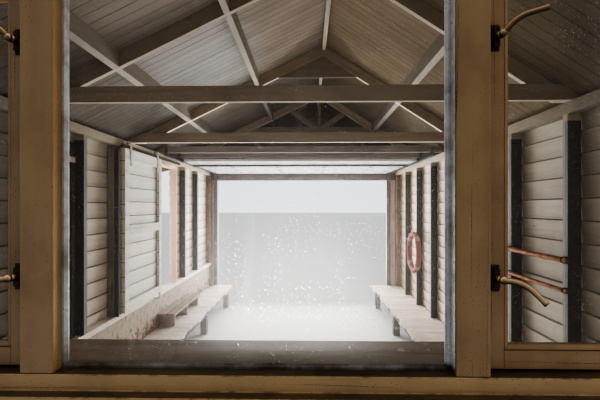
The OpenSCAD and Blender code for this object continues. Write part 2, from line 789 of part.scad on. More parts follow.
// Flat rail on spacers, and the guide that keeps the foot of the leaf in line
module sliding_door_rail() color("gray") {
    rail_start = leaf_start;
    rail_end = leaf_start + leaf_w + rail_travel;
    block([rail_x, rail_start, rail_z], [rail_x + rail_t, rail_end, rail_z + rail_h2]);
    spacer_step = (rail_end - rail_start - 2 * spacer_in) / 4;
    for (i = [0:4])
        translate([-post_x, rail_start + spacer_in + i * spacer_step, rail_z + rail_h2 / 2])
            rotate([0, 90, 0]) cylinder(h = rail_x + post_x, r = 10);
    guide_y = leaf_y - guide_in;
    nose_x = plinth_x + sill_nose;
    translate([0, 0, plinth_h]) along(guide_y, guide_y + 60)
        polygon([[nose_x, 20], [leaf_x + leaf_t + 11, 20], [leaf_x + leaf_t + 11, 105],
                 [leaf_x + leaf_t + 6, 105], [leaf_x + leaf_t + 6, 26], [nose_x, 26]]);
}

// Padded ring that hangs on a peg in the post's sleeve
module life_ring() color("tomato") {
    ring_y = right_post_ys[ring_post] + strip_back / 2;
    peg_r = 8;
    translate([post_x - strip_t - ring_t / 2, ring_y, ring_z]) rotate([0, 90, 0])
        rotate_extrude($fn = 64) translate([(ring_d - ring_t) / 2, 0]) circle(r = ring_t / 2);
    translate([post_x - strip_t - ring_t, ring_y, ring_z + ring_d / 2 - ring_t - peg_r + 2]) rotate([0, 90, 0])
        cylinder(h = ring_t, r = peg_r);
}

// Two round rails on saddles at the inner sides of three posts
module hanging_rails() color("peru") for (rail = [[upper_hang_z, upper_hang_r], [lower_hang_z, lower_hang_r]]) {
    saddle_t = 6;
    saddle_w = 24;
    rail_x = post_x - strip_t - saddle_t - rail[1];
    translate([rail_x, right_post_ys[2] - 20, rail[0]]) rotate([-90, 0, 0])
        cylinder(h = 2 * right_post_pitch + 60, r = rail[1]);
    for (i = [2:4])
        block([rail_x, right_post_ys[i] + 4, rail[0] - rail[1] - 4],
              [post_x - strip_t, right_post_ys[i] + 4 + saddle_w, rail[0] + rail[1] + 4]);
}

landward_wall_below();
landward_wall_sides();
landward_gable();
window_frame();
window_glass();
casements();
window_handles();
window_board();
hall_sill();
lake_wall_sides();
lake_lintel();
lake_gable();
left_plinth();
left_sill();
left_wall_rear();
left_wall_middle();
left_wall_front();
left_wall_over_openings();
doorway_lining();
side_window_frame();
side_window_glass();
right_foundation();
right_wall();
left_posts();
right_posts();
post_sleeves();
door_post();
corner_posts();
wall_plates();
left_rafters();
right_rafters();
tie_beams();
gusset_plates();
collar_truss();
cross_beams();
ridge_beam();
purlins();
left_roof_boards();
right_roof_boards();
left_roof_cover();
right_roof_cover();
ridge_cap();
bargeboards();
left_walkway();
right_walkway();
walkway_bearers();
walkway_piles();
door_step();
overhead_door();
overhead_door_tracks();
sliding_door();
door_hangers();
sliding_door_rail();
life_ring();
hanging_rails();
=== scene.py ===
import json
import math
import random

import bmesh
import bpy
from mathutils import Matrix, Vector


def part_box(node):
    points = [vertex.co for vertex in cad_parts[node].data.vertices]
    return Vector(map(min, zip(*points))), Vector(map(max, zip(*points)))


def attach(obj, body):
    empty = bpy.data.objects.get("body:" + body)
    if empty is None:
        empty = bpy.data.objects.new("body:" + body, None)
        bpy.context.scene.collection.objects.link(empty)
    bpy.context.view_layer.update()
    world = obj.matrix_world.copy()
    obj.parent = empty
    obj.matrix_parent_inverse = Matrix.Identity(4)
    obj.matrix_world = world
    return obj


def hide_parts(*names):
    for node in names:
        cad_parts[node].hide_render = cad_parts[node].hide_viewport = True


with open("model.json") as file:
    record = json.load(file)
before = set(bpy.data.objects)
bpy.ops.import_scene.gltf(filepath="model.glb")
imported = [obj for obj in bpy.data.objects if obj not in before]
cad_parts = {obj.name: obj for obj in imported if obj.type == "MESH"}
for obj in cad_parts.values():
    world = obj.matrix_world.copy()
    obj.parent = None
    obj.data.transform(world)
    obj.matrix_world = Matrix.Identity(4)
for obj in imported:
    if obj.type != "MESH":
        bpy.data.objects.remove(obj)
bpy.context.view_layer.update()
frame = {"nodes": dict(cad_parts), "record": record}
nodes = frame["nodes"]
slotOf = {part["node"]: part["material_slot"] for part in frame["record"]["subparts"]}
building = "building"
slidingBody = "sliding_door"
print("frame loaded:", len(nodes), "nodes")

# Camera: just outside the landward window, at the eye height of a standing person
cameraLook = {"place": (0.115, -5.10, 2.21), "lens": 24.0, "sensor": 36.0, "pitchDegrees": 90, "yawDegrees": 1.15,
              "shiftY": 0.0117, "clip": (0.05, 200)}


def makeCamera():
    look = cameraLook
    data = bpy.data.cameras.new("camera")
    data.lens, data.sensor_width, data.shift_y = look["lens"], look["sensor"], look["shiftY"]
    data.clip_start, data.clip_end = look["clip"]
    camera = bpy.data.objects.new("camera", data)
    camera.location = look["place"]
    camera.rotation_euler = (math.radians(look["pitchDegrees"]), 0, math.radians(look["yawDegrees"]))
    bpy.context.scene.collection.objects.link(camera)
    bpy.context.scene.camera = camera


makeCamera()

# Lapped boards of the walls: each board's top stands in the posts' plane and its foot leans out behind the next
lapLook = {"pitch": 0.170, "overlap": 0.025, "lean": 0.022, "leanPlay": 0.003, "thick": 0.018, "endGap": 0.0015,
           "bevel": 0.0022, "ledges": (2.762, 2.781), "lowest": 0.012, "jointFromEnd": 0.4}
# Painted shade on them, along a board's height from its top: the painted shade line above a lap, the soft painted
# shade over it, the painted shadow beside a post and how it slants, and the painted shadow line under a board's
# foot, seen from outside
lapTone = {"line": (0.90, 0.975), "soft": (0.45, 1.0, 0.0, 0.22), "post": (0.70, 1.03, 0.0, 0.72), "slant": 0.05,
           "footStart": (0.130, 0.150), "footEnd": (0.175, 0.215, 0.85, 0.0)}


# Shader helpers. Every piece carries "grain", its own coordinates with X along the board, and "worn" on its edges.
class Shader:
    def __init__(self):
        self.material = bpy.data.materials.new("look")
        self.material.use_nodes = True
        self.tree = self.material.node_tree
        self.shader = self.tree.nodes["Principled BSDF"]
        self.coords = self.add("TexCoord").outputs["Object"]
        self.grain = self.add("Attribute", attribute_name="grain").outputs["Vector"]
        self.worn = self.add("Attribute", attribute_name="worn").outputs["Fac"]
        surface = self.add("NewGeometry")
        self.island = surface.outputs["Random Per Island"]
        self.x, self.y, self.z = self.axes(self.coords)
        self.facingX, self.facingY, self.facingZ = self.axes(surface.outputs["Normal"])

    def add(self, kind, **values):
        node = self.tree.nodes.new("ShaderNode" + kind)
        for key, value in values.items():
            setattr(node, key, value)
        return node

    def feed(self, socket, value):
        if hasattr(value, "is_linked"):
            self.tree.links.new(value, socket)
        else:
            socket.default_value = value

    def axes(self, vector):
        split = self.add("SeparateXYZ")
        self.feed(split.inputs[0], vector)
        return split.outputs

    def stretch(self, scale, along=None):
        node = self.add("Mapping")
        self.feed(node.inputs["Vector"], self.grain if along is None else along)
        node.inputs["Scale"].default_value = scale
        return node.outputs["Vector"]

    def noise(self, scale, detail=4.0, rough=0.55, vector=None, distort=0.0):
        node = self.add("TexNoise")
        self.feed(node.inputs["Vector"], self.coords if vector is None else vector)
        for socket, value in (("Scale", scale), ("Detail", detail), ("Roughness", rough), ("Distortion", distort)):
            node.inputs[socket].default_value = value
        return node.outputs["Fac"]

    # Noise drawn out along the board
    def streaks(self, scale, detail, rough, distort=0.0):
        return self.noise(1.0, detail, rough, self.stretch(scale), distort)

    def spots(self, scale, vector=None):
        node = self.add("TexVoronoi")
        self.feed(node.inputs["Vector"], self.coords if vector is None else vector)
        node.inputs["Scale"].default_value = scale
        return node.outputs["Distance"]

    def math(self, how, a, b=0.5):
        node = self.add("Math", operation=how)
        self.feed(node.inputs[0], a)
        self.feed(node.inputs[1], b)
        return node.outputs[0]

    def times(self, first, *others):
        for other in others:
            first = self.math("MULTIPLY", first, other)
        return first

    def most(self, first, *others):
        for other in others:
            first = self.math("MAXIMUM", first, other)
        return first

    def ramp(self, value, low, high, start=0.0, end=1.0):
        node = self.add("MapRange", interpolation_type="SMOOTHSTEP")
        for socket, v in zip(("Value", "From Min", "From Max", "To Min", "To Max"), (value, low, high, start, end)):
            self.feed(node.inputs[socket], v)
        return node.outputs["Result"]

    def mix(self, factor, a, b, how="MIX"):
        node = self.add("Mix", data_type="RGBA", blend_type=how)
        self.feed(node.inputs[0], factor)
        for socket, value in ((node.inputs[6], a), (node.inputs[7], b)):
            self.feed(socket, value if hasattr(value, "is_linked") else (*value, 1.0))
        return node.outputs[2]

    def shade(self, colour, factor):
        grey = self.add("CombineColor")
        for channel in ("Red", "Green", "Blue"):
            self.feed(grey.inputs[channel], factor)
        return self.mix(1.0, colour, grey.outputs["Color"], "MULTIPLY")

    # A tone of its own for each loose piece of a mesh
    def toned(self, colour, tones):
        return self.shade(colour, self.ramp(self.island, 0.0, 1.0, 1.0 - tones, 1.0))

    # 1 on faces that look across the hall into it, or out of it, and 0 elsewhere
    def inward(self):
        return self.math("LESS_THAN", self.times(self.facingX, self.x), 0.0)

    def outward(self):
        return self.math("GREATER_THAN", self.times(self.facingX, self.x), 0.0)

    # How far a value is into its own pitch, from 0 to 1
    def phase(self, start, value, pitch):
        return self.math("FRACT", self.math("DIVIDE", self.math("SUBTRACT", start, value), pitch))

    def footShadow(self, phase):
        return self.times(self.ramp(phase, *lapTone["footStart"]), self.ramp(phase, *lapTone["footEnd"]))

    # Painted shade on the side walls' lapped boards and the leaf's: inside over each lap and beside the right wall's
    # posts, and a painted shadow line outside under each foot
    def lapShade(self, colour, shadeColour, ledges, pitch, furthest, strength, posts=None):
        right = self.math("GREATER_THAN", self.x, 0.0)
        start = self.math("ADD", self.times(right, ledges[1] - ledges[0]), ledges[0])
        phase = self.phase(start, self.z, pitch)
        beyond = self.math("GREATER_THAN", self.math("ABSOLUTE", self.x), furthest)
        line = self.times(self.ramp(phase, *lapTone["line"]), beyond)
        soft = self.ramp(phase, *lapTone["soft"])
        if posts:
            reach = self.math("ADD", self.phase(self.y, *posts), self.times(phase, lapTone["slant"]))
            soft = self.most(soft, self.times(self.ramp(reach, *lapTone["post"]), right))
        inside = self.times(self.most(line, soft), self.times(self.inward(), strength))
        outside = self.times(self.math("SUBTRACT", 1.0, self.inward()), self.footShadow(phase))
        return self.mix(self.most(inside, outside), colour, shadeColour)

    # Painted shadow lines on the end walls' lapped boards, outside under each foot
    def endLapShadow(self, colour, shadeColour, ledge, pitch, furthest):
        outward = self.math("GREATER_THAN", self.times(self.facingY, self.y), 1.0)
        beyond = self.math("GREATER_THAN", self.math("ABSOLUTE", self.y), furthest)
        shadow = self.footShadow(self.phase(ledge, self.z, pitch))
        return self.mix(self.times(outward, beyond, shadow), colour, shadeColour)

    def bump(self, height, strength, distance):
        node = self.add("Bump")
        node.inputs["Strength"].default_value = strength
        node.inputs["Distance"].default_value = distance
        self.feed(node.inputs["Height"], height)
        if self.shader.inputs["Normal"].is_linked:
            self.feed(node.inputs["Normal"], self.shader.inputs["Normal"].links[0].from_socket)
        self.feed(self.shader.inputs["Normal"], node.outputs["Normal"])

    def finish(self, colour, rough, metal=0.0):
        self.feed(self.shader.inputs["Base Color"], colour if hasattr(colour, "is_linked") else (*colour, 1.0))
        self.feed(self.shader.inputs["Roughness"], rough)
        self.feed(self.shader.inputs["Metallic"], metal)
        return self.material


# From where to where along Y the near bay's painted shade fades and the right wall's painted warm light grows, and X
# from wall to wall
bays = {"near": (-3.0, 0.2), "warm": (0.8, 3.4), "walls": (-2.1, 2.1)}


# Timber, painted or bare: grain along each board, blotches, knots, worn edges and a tone for each board. Where
# asked,
# it also carries painted light and shade: by facing, over the laps, along Y and towards the landward end
def timber(base, dark, worn, contrast=0.5, wear=0.35, knots=0.5, tones=0.12, rough=0.62, relief=0.35, lap=None,
           under=None, farDark=0.0, farFrom=(-0.25, 0.5), near=0.0, tilt=0.0, warm=None, endLap=None):
    s = Shader()
    broad = s.streaks((1.1, 16, 16), 5.0, 0.6, 0.8)
    fine = s.streaks((5.0, 190, 190), 4.0, 0.65)
    blotch = s.noise(2.1, 4.0, 0.62)
    colour = s.mix(s.ramp(broad, 0.42, 0.74, 0.0, contrast), base, dark)
    colour = s.mix(s.ramp(blotch, 0.42, 0.78, 0.0, contrast * 0.9), colour, dark)
    colour = s.mix(s.ramp(fine, 0.52, 0.72, 0.0, contrast * 0.45), colour, dark)
    knot = s.spots(1.0, s.stretch((2.1, 6.5, 6.5)))
    colour = s.mix(s.ramp(knot, 0.045, 0.09, knots, 0.0), colour, worn)
    rubbed = s.times(s.worn, s.ramp(s.noise(38.0, 5.0, 0.7), 0.45, 0.62), wear * 1.6)
    patches = s.times(s.ramp(s.noise(9.0, 6.0, 0.72), 0.62, 0.68), s.ramp(broad, 0.4, 0.6, 0.0, wear))
    colour = s.toned(s.mix(s.most(rubbed, patches), colour, worn), tones)
    # Painted light and shade by facing: faces that look down take the under colour
    if under:
        facing = s.ramp(s.times(s.facingZ, -1.0), 0.45, 0.75, 0.0, 0.9)
        colour = s.mix(facing, colour, s.mix(s.ramp(broad, 0.4, 0.8, 0.0, 0.6), under, base))
    # Painted shade over the laps and beside the posts, and painted shadow lines under the boards' feet outside
    if lap:
        colour = s.lapShade(colour, *lap)
    if endLap:
        colour = s.endLapShadow(colour, *endLap)
    # Painted shade along Y towards the lake; a farDark below 0 paints light there instead
    if farDark:
        colour = s.shade(colour, s.ramp(s.y, *farFrom, 1.0, 1.0 - farDark))
    # Painted shade towards the landward end, a little darker on the left than the right, kept off the outer faces of
    # lapped boards
    if near:
        start = s.ramp(s.x, *bays["walls"], 1.0 - near - tilt, 1.0 - near + tilt)
        shade = s.ramp(s.y, *bays["near"], start, 1.0)
        colour = s.shade(colour, s.most(shade, s.outward()) if lap else shade)
    # Painted warm light on the right wall's faces that look into the hall, towards the lake
    if warm:
        right = s.times(s.math("GREATER_THAN", s.x, 0.0), s.inward())
        reach = s.times(s.ramp(s.y, *bays["warm"]), right)
        colour = s.mix(reach, colour, s.mix(1.0, colour, warm, "MULTIPLY"))
    s.bump(broad, relief, 0.002)
    s.bump(fine, relief * 0.8, 0.0006)
    return s.finish(colour, s.ramp(blotch, 0.3, 0.7, rough - 0.08, rough + 0.14))


# Old smooth paint with soft stains, hairline cracks along the grain and dark pin specks
def smoothPaint(base, stain, crack, stains, cracks, specks, wear=0.12, top=None):
    s = Shader()
    soft = s.noise(3.4, 5.0, 0.62)
    along = s.streaks((0.9, 14, 14), 3.0, 0.5, 0.3)
    colour = s.mix(s.ramp(soft, 0.40, 0.75, 0.0, stains), base, stain)
    colour = s.mix(s.ramp(along, 0.45, 0.80, 0.0, stains * 0.5), colour, stain)
    if top:
        colour = s.mix(s.ramp(s.facingZ, 0.6, 0.8, 0.0, 0.95), colour, s.mix(s.ramp(soft, 0.4, 0.6), *top))
    grain = s.axes(s.grain)
    across = s.times(s.math("ADD", grain["Y"], grain["Z"]), 23.0)
    phase = s.math("FRACT", s.math("ADD", across, s.times(s.streaks((0.6, 5, 5), 1.0, 0.4), 2.4)))
    rift = s.ramp(s.math("ABSOLUTE", s.math("SUBTRACT", phase, 0.5)), 0.008, 0.030, 1.0, 0.0)
    dots = s.ramp(s.streaks((190, 40, 40), 2.0, 0.6), 0.36, 0.60, 0.15, 1.0)
    split = s.times(rift, dots, s.ramp(s.streaks((2.2, 12, 12), 3.0, 0.6), 0.46, 0.60, 0.0, cracks))
    pin = s.times(s.ramp(s.spots(34.0), 0.035, 0.065, 1.0, 0.0), s.ramp(s.noise(7.0), 0.46, 0.56, 0.0, specks * 0.8))
    fine = s.times(s.ramp(s.spots(80.0), 0.07, 0.14, 1.0, 0.0), s.ramp(s.noise(5.0), 0.40, 0.56, 0.0, specks * 0.8))
    rub = s.times(s.worn, s.ramp(s.noise(22.0, 4.0, 0.7), 0.44, 0.66, 0.0, wear))
    colour = s.mix(s.most(split, pin, fine, rub), colour, crack)
    s.shader.inputs["Coat Weight"].default_value = 0.35
    s.shader.inputs["Coat Roughness"].default_value = 0.28
    s.bump(along, 0.15, 0.001)
    s.bump(split, -0.4, 0.0008)
    s.bump(s.noise(160.0, 3.0), 0.12, 0.0004)
    return s.finish(colour, s.ramp(soft, 0.3, 0.7, 0.40, 0.60))


# The ceiling's painted light and shade along Y and up Z: painted shade far off, near the window and low down, and
# painted light high up. Where pale is asked for, its middle, between where the two ranges on Y and on Z rise and
# fall, is greyer and paler as a painted pool of light, and the rest is browner as painted shade.
ceilingTone = {"boards": 0.10, "far": (-0.25, 0.6), "farDark": 0.42, "near": (-2.75, -1.95), "low": (3.05, 3.75),
               "top": 1.2, "middleY": ((-2.5, -1.1), (-0.7, 0.3)), "middleZ": ((3.12, 3.52), (3.70, 3.95)),
               "pale": (1.20, 1.25, 1.31), "brown": (0.87, 0.775, 0.69)}


# Boards of the ceiling: dusty smooth paint, faint streaks, a few dark knots
def ceilingPaint(base, dust, knot, near, low, pale=False):
    s = Shader()
    tone = ceilingTone
    soft = s.noise(0.9, 4.0, 0.6)
    streak = s.streaks((0.7, 26, 26), 3.0, 0.5)
    colour = s.mix(s.ramp(soft, 0.35, 0.72, 0.0, 0.6), base, dust)
    colour = s.mix(s.ramp(streak, 0.45, 0.75, 0.0, 0.30), colour, dust)
    eye = s.ramp(s.spots(1.0, s.stretch((1.5, 6.5, 6.5))), 0.035, 0.075, 1.0, 0.0)
    colour = s.mix(s.times(eye, s.ramp(s.noise(1.3), 0.50, 0.56, 0.0, 0.85)), colour, knot)
    colour = s.mix(s.times(s.worn, 0.6), s.toned(colour, tone["boards"]), knot)
    # Painted shade far off, near the window and low down, and painted light high up
    colour = s.shade(colour, s.ramp(s.y, *tone["far"], 1.0, 1.0 - tone["farDark"]))
    colour = s.shade(colour, s.ramp(s.y, *tone["near"], 1.0 - near, 1.0))
    colour = s.shade(colour, s.ramp(s.z, *tone["low"], 1.0 - low, tone["top"]))
    # A painted pool of light in the middle of the slope, and painted shade round it
    if pale:
        middle = [s.times(s.ramp(value, *rise), s.ramp(value, *fall, 1.0, 0.0))
                  for value, (rise, fall) in ((s.y, tone["middleY"]), (s.z, tone["middleZ"]))]
        colour = s.mix(1.0, colour, s.mix(s.times(*middle), tone["brown"], tone["pale"]), "MULTIPLY")
    s.bump(streak, 0.15, 0.0012)
    return s.finish(colour, s.ramp(soft, 0.3, 0.7, 0.58, 0.75))


# Ribbed rubber, with a painted bluish highlight where it turns round the post's inner side
def sleeveRubber(front, back, dust):
    s = Shader()
    # Painted highlight on the faces that look across the hall
    colour = s.mix(s.ramp(s.math("ABSOLUTE", s.facingX), 0.5, 0.8), front, back)
    colour = s.mix(s.ramp(s.noise(6.0, 5.0, 0.7), 0.48, 0.78, 0.0, 0.5), colour, dust)
    colour = s.mix(s.ramp(s.spots(60.0), 0.06, 0.12, 0.35, 0.0), colour, dust)
    s.bump(s.noise(120.0, 3.0), 0.15, 0.0005)
    return s.finish(colour, s.ramp(s.noise(4.0), 0.3, 0.7, 0.32, 0.5))


# Metal, clay, concrete or thick paint. A foot is another colour below a height, and a crown is a painted highlight
# on what faces up and painted shade on what faces down.
def coated(base, dark, rough, metallic=0.0, scale=40.0, speck=0.0, relief=0.15, tones=0.0, foot=None, crown=None):
    s = Shader()
    stain = s.noise(scale, 5.0, 0.65)
    stained = s.ramp(stain, 0.4, 0.72)
    colour = s.mix(stained, base, dark)
    if foot:
        lowColour, start, end = foot
        colour = s.mix(s.ramp(s.z, start, end), s.mix(stained, lowColour, dark), colour)
    if speck:
        colour = s.mix(s.ramp(s.spots(scale * 5), 0.08, 0.16, speck, 0.0), colour, dark)
    if tones:
        colour = s.toned(colour, tones)
    # Painted highlight on what faces up and painted shade on what faces down
    if crown:
        colour = s.shade(colour, s.ramp(s.facingZ, -0.6, 0.9, *crown))
    s.bump(s.noise(scale * 6, 3.0), relief, 0.0005)
    return s.finish(colour, s.ramp(stain, 0.3, 0.7, rough - 0.06, rough + 0.15), metallic)


# Brick under old cream paint, which has worn away low down
def paintedBrick(paint, grime, clays, lime):
    s = Shader()
    clay = s.mix(s.ramp(s.island, 0.2, 0.9), *clays)
    clay = s.mix(s.ramp(s.noise(60.0, 4.0, 0.7), 0.5, 0.75, 0.0, 0.7), clay, lime)
    coat = s.mix(s.ramp(s.noise(3.5, 5.0, 0.6), 0.4, 0.75, 0.0, 0.6), paint, grime)
    bare = s.ramp(s.math("ADD", s.noise(11.0, 6.0, 0.68), s.ramp(s.z, 0.38, 0.80, 0.20, 0.0)), 0.60, 0.66)
    s.bump(s.noise(90.0, 5.0, 0.7), 0.5, 0.002)
    s.bump(bare, -0.3, 0.0015)
    return s.finish(s.mix(bare, coat, clay), s.ramp(bare, 0.0, 1.0, 0.62, 0.9))


# Clear glass: what shows is its dust, its streaks and a warm haze, partly a film of dirt on the glass and partly a
# painted reflection of the room
def windowGlass(tint, haze, rough, through=0.0):
    s = Shader()
    specks = s.most(s.ramp(s.spots(44.0), 0.02, 0.07, 0.9, 0.0), s.ramp(s.spots(120.0), 0.06, 0.14, 0.7, 0.0))
    few = s.ramp(s.noise(9.0, 4.0, 0.7), 0.40, 0.56)
    streaks = s.ramp(s.noise(1.0, 4.0, 0.6, s.stretch((26, 26, 1.6), s.coords)), 0.52, 0.8, 0.0, 0.025)
    # The haze in the alpha is partly dirt on the glass and partly a painted reflection
    s.feed(s.shader.inputs["Alpha"], s.math("ADD", s.times(specks, few), s.math("ADD", streaks, haze)))
    s.shader.inputs["Transmission Weight"].default_value = through
    return s.finish(tint, rough)


# A look for each material slot, then looks of single nodes and pieces. "lap" gives the
# painted shade's colour, the ledges and pitch of the laps, how far out the painted shade line starts, its strength,
# and the posts' start and spacing.
finishes = {
    "window_wood": smoothPaint((0.290, 0.188, 0.092), (0.185, 0.108, 0.046), (0.035, 0.020, 0.010), 0.85, 1.0, 1.0),
    "sill_wood": smoothPaint((0.39, 0.26, 0.125), (0.26, 0.165, 0.08), (0.05, 0.03, 0.015), 0.7, 0.8, 1.0, 0.6,
                             top=((0.085, 0.056, 0.028), (0.043, 0.028, 0.016))),
    "hall_sill_paint": timber((0.20, 0.165, 0.125), (0.10, 0.082, 0.062), (0.42, 0.37, 0.32), 0.8, 0.9),
    "boarding": timber((0.70, 0.65, 0.57), (0.50, 0.44, 0.36), (0.32, 0.26, 0.2),
                       endLap=((0.12, 0.095, 0.07), lapLook["ledges"][1], lapLook["pitch"], 4.0)),
    "wall_boards": timber((0.80, 0.735, 0.64), (0.58, 0.50, 0.40), (0.40, 0.32, 0.24), 0.5, 0.3, 0.4, 0.16,
                          lap=((0.10, 0.075, 0.055), lapLook["ledges"], lapLook["pitch"], 2.1, 0.9, (-3.72, 0.835)),
                          near=0.6, tilt=0.08, warm=(0.90, 0.76, 0.57)),
    "sill_paint": timber((0.78, 0.73, 0.65), (0.55, 0.48, 0.40), (0.38, 0.3, 0.22), 0.5, 0.5),
    "lining_paint": timber((0.92, 0.62, 0.45), (0.74, 0.48, 0.33), (0.5, 0.4, 0.3), 0.4, 0.3),
    "dark_frame": timber((0.030, 0.032, 0.035), (0.02, 0.02, 0.02), (0.1, 0.1, 0.1), 0.4, 0.4, 0.0),
    "post_wood": timber((0.36, 0.30, 0.235), (0.22, 0.18, 0.135), (0.16, 0.12, 0.09), 0.6),
    "door_post_wood": timber((0.25, 0.21, 0.18), (0.09, 0.078, 0.07), (0.34, 0.30, 0.26), 0.9, 0.5, 0.6),
    "corner_wood": timber((0.25, 0.16, 0.10), (0.10, 0.07, 0.05), (0.46, 0.38, 0.30), 0.9, 0.8),
    "mouth_wood": timber((0.51, 0.435, 0.378), (0.29, 0.235, 0.192), (0.70, 0.655, 0.61), 0.9, 0.9),
    "roof_timber": timber((0.225, 0.175, 0.127), (0.13, 0.10, 0.072), (0.09, 0.065, 0.045), 0.6, 0.35,
                          under=(0.60, 0.55, 0.475), farDark=-1.05, farFrom=(-1.6, 0.4)),
    "dark_timber": timber((0.28, 0.25, 0.23), (0.13, 0.115, 0.105), (0.36, 0.32, 0.29), 0.7, 0.4),
    "ceiling": ceilingPaint((0.38, 0.37, 0.355), (0.225, 0.21, 0.185), (0.05, 0.037, 0.027), near=0.22, low=0.5,
                            pale=True),
    "barge_paint": timber((0.72, 0.68, 0.60), (0.5, 0.45, 0.37), (0.35, 0.28, 0.2)),
    "planks": timber((0.76, 0.665, 0.60), (0.44, 0.36, 0.30), (0.84, 0.78, 0.72), 0.9, 0.5, 0.5, 0.14, 0.8, 0.6),
    "bearer_wood": timber((0.17, 0.14, 0.11), (0.07, 0.07, 0.05), (0.25, 0.22, 0.16), 0.9, 0.4),
    "door_paint": timber((0.735, 0.712, 0.67), (0.56, 0.51, 0.44), (0.42, 0.35, 0.27), 0.4, 0.35, 0.2, 0.08,
                         lap=((0.12, 0.09, 0.065), (1.09, 1.09), 0.1685, 2.025, 0.9), near=0.12),
    "galvanised": coated((0.50, 0.52, 0.54), (0.30, 0.31, 0.32), 0.4, 1.0, 55.0),
    "black_iron": coated((0.03, 0.026, 0.022), (0.09, 0.05, 0.03), 0.5, 0.5),
    "handle_metal": coated((0.33, 0.235, 0.14), (0.25, 0.172, 0.098), 0.24, 1.0, 4.0, relief=0.02,
                           crown=(0.35, 2.9)),
    "copper": coated((0.62, 0.33, 0.22), (0.36, 0.20, 0.14), 0.34, 1.0, 12.0),
    "lift_door": coated((0.65, 0.65, 0.65), (0.55, 0.55, 0.54), 0.2, 0.0, 5.0, tones=0.06),
    "strip_dark": sleeveRubber((0.022, 0.0235, 0.026), (0.22, 0.26, 0.32), (0.10, 0.10, 0.10)),
    "concrete": coated((0.36, 0.35, 0.33), (0.2, 0.19, 0.17), 0.85, 0.0, 9.0, 0.4, 0.6),
    "brick": paintedBrick((0.375, 0.32, 0.265), (0.30, 0.24, 0.18), ((0.20, 0.135, 0.10), (0.155, 0.105, 0.08)),
                          (0.30, 0.255, 0.21)),
    "tiles": coated((0.36, 0.13, 0.075), (0.16, 0.075, 0.05), 0.72, 0.0, 9.0, 0.5, 0.5, 0.35),
    "ring": coated((0.235, 0.065, 0.06), (0.21, 0.10, 0.09), 0.6, 0.0, 9.0, 0.0, 0.4),
    "glass": windowGlass((0.88, 0.81, 0.72), 0.022, 0.6, 0.2),
    "side_glass": windowGlass((0.02, 0.022, 0.025), 0.72, 0.08),
    # The right slope's boards: a darker, browner copy of the ceiling's paint, as painted shade
    "right_roof_boards": ceilingPaint((0.245, 0.193, 0.126), (0.15, 0.114, 0.07), (0.05, 0.035, 0.024), near=0.58,
                                      low=0.2),
    "lake_lintel": timber((0.18, 0.165, 0.162), (0.10, 0.09, 0.087), (0.42, 0.38, 0.36), 0.8, 0.6),
    "purlins": timber((0.42, 0.375, 0.32), (0.30, 0.26, 0.215), (0.09, 0.065, 0.045), 0.4, 0.25,
                      under=(0.66, 0.62, 0.55), farDark=0.45, near=0.35),
    "side_window_bar": timber((0.74, 0.67, 0.57), (0.50, 0.43, 0.35), (0.38, 0.3, 0.22), 0.5, near=0.3),
    "door_hangers": coated((0.52, 0.47, 0.40), (0.26, 0.21, 0.17), 0.5, 0.0, 30.0),
    "sliding_door_rail": coated((0.035, 0.03, 0.026), (0.10, 0.07, 0.05), 0.5, 0.0, 20.0,
                                foot=((0.50, 0.44, 0.36), 1.9, 2.1)),
    "wall_plates": timber((0.54, 0.47, 0.385), (0.36, 0.30, 0.23), (0.28, 0.22, 0.16), 0.6, near=0.72),
    "collar_truss": timber((0.23, 0.185, 0.14), (0.14, 0.11, 0.08), (0.09, 0.065, 0.045), 0.6, 0.35,
                           under=(0.17, 0.148, 0.122)),
    "pane_strip": coated((0.52, 0.53, 0.55), (0.26, 0.25, 0.24), 0.30, 0.35, 12.0,
                         foot=((0.085, 0.065, 0.045), 1.785, 1.80)),
    "door_step": timber((0.34, 0.27, 0.23), (0.16, 0.12, 0.10), (0.50, 0.42, 0.36), 0.8, 0.5, 0.6, 0.2, 0.75, 0.6),
    "ring_bands": coated((0.36, 0.24, 0.21), (0.27, 0.165, 0.14), 0.6, 0.0, 18.0),
    "overhead_door_tracks": coated((0.15, 0.165, 0.19), (0.08, 0.085, 0.095), 0.42, 0.7, 30.0),
    "screws": coated((0.30, 0.28, 0.26), (0.14, 0.10, 0.08), 0.5, 0.9, 90.0),
}
for look, made in finishes.items():
    made.name = look
print("materials made:", len(finishes))
finishes["gusset_plates"] = finishes["collar_truss"]


# Mesh helpers: how sharp an edge is that gets a bevel, in radians, and how far a board's grain is shifted at random
meshLook = {"sharpAngle": 0.45, "grainShift": 60}


def newMesh():
    bm = bmesh.new()
    bm.verts.layers.float_vector.new("grain")
    bm.faces.layers.float.new("worn")
    return bm


def arc(u, v, radius, turns):
    return [(u + radius * math.cos(t), v + radius * math.sin(t)) for t in turns]


# Faces between two rows of points, all round or not
def skin(bm, a, b, closed=True):
    for k in range(len(a) if closed else len(a) - 1):
        n = (k + 1) % len(a)
        bm.faces.new((a[k], a[n], b[n], b[k]))


def join(bm, low, high):
    a = [bm.verts.new(p) for p in low]
    b = [bm.verts.new(p) for p in high]
    bm.faces.new(a[::-1])
    bm.faces.new(b)
    skin(bm, a, b)


def block(bm, a, b):
    corners = [(a[0], a[1]), (b[0], a[1]), (b[0], b[1]), (a[0], b[1])]
    join(bm, [(x, y, a[2]) for x, y in corners], [(x, y, b[2]) for x, y in corners])


turned = {"x": lambda u, v, w: (w, u, v), "y": lambda u, v, w: (u, w, v), "z": lambda u, v, w: (u, v, w)}


# A flat outline drawn out along an axis: (y, z) along x, (x, z) along y or (x, y) along z
def prism(bm, outline, axis, low, high):
    join(bm, [turned[axis](u, v, low) for u, v in outline], [turned[axis](u, v, high) for u, v in outline])


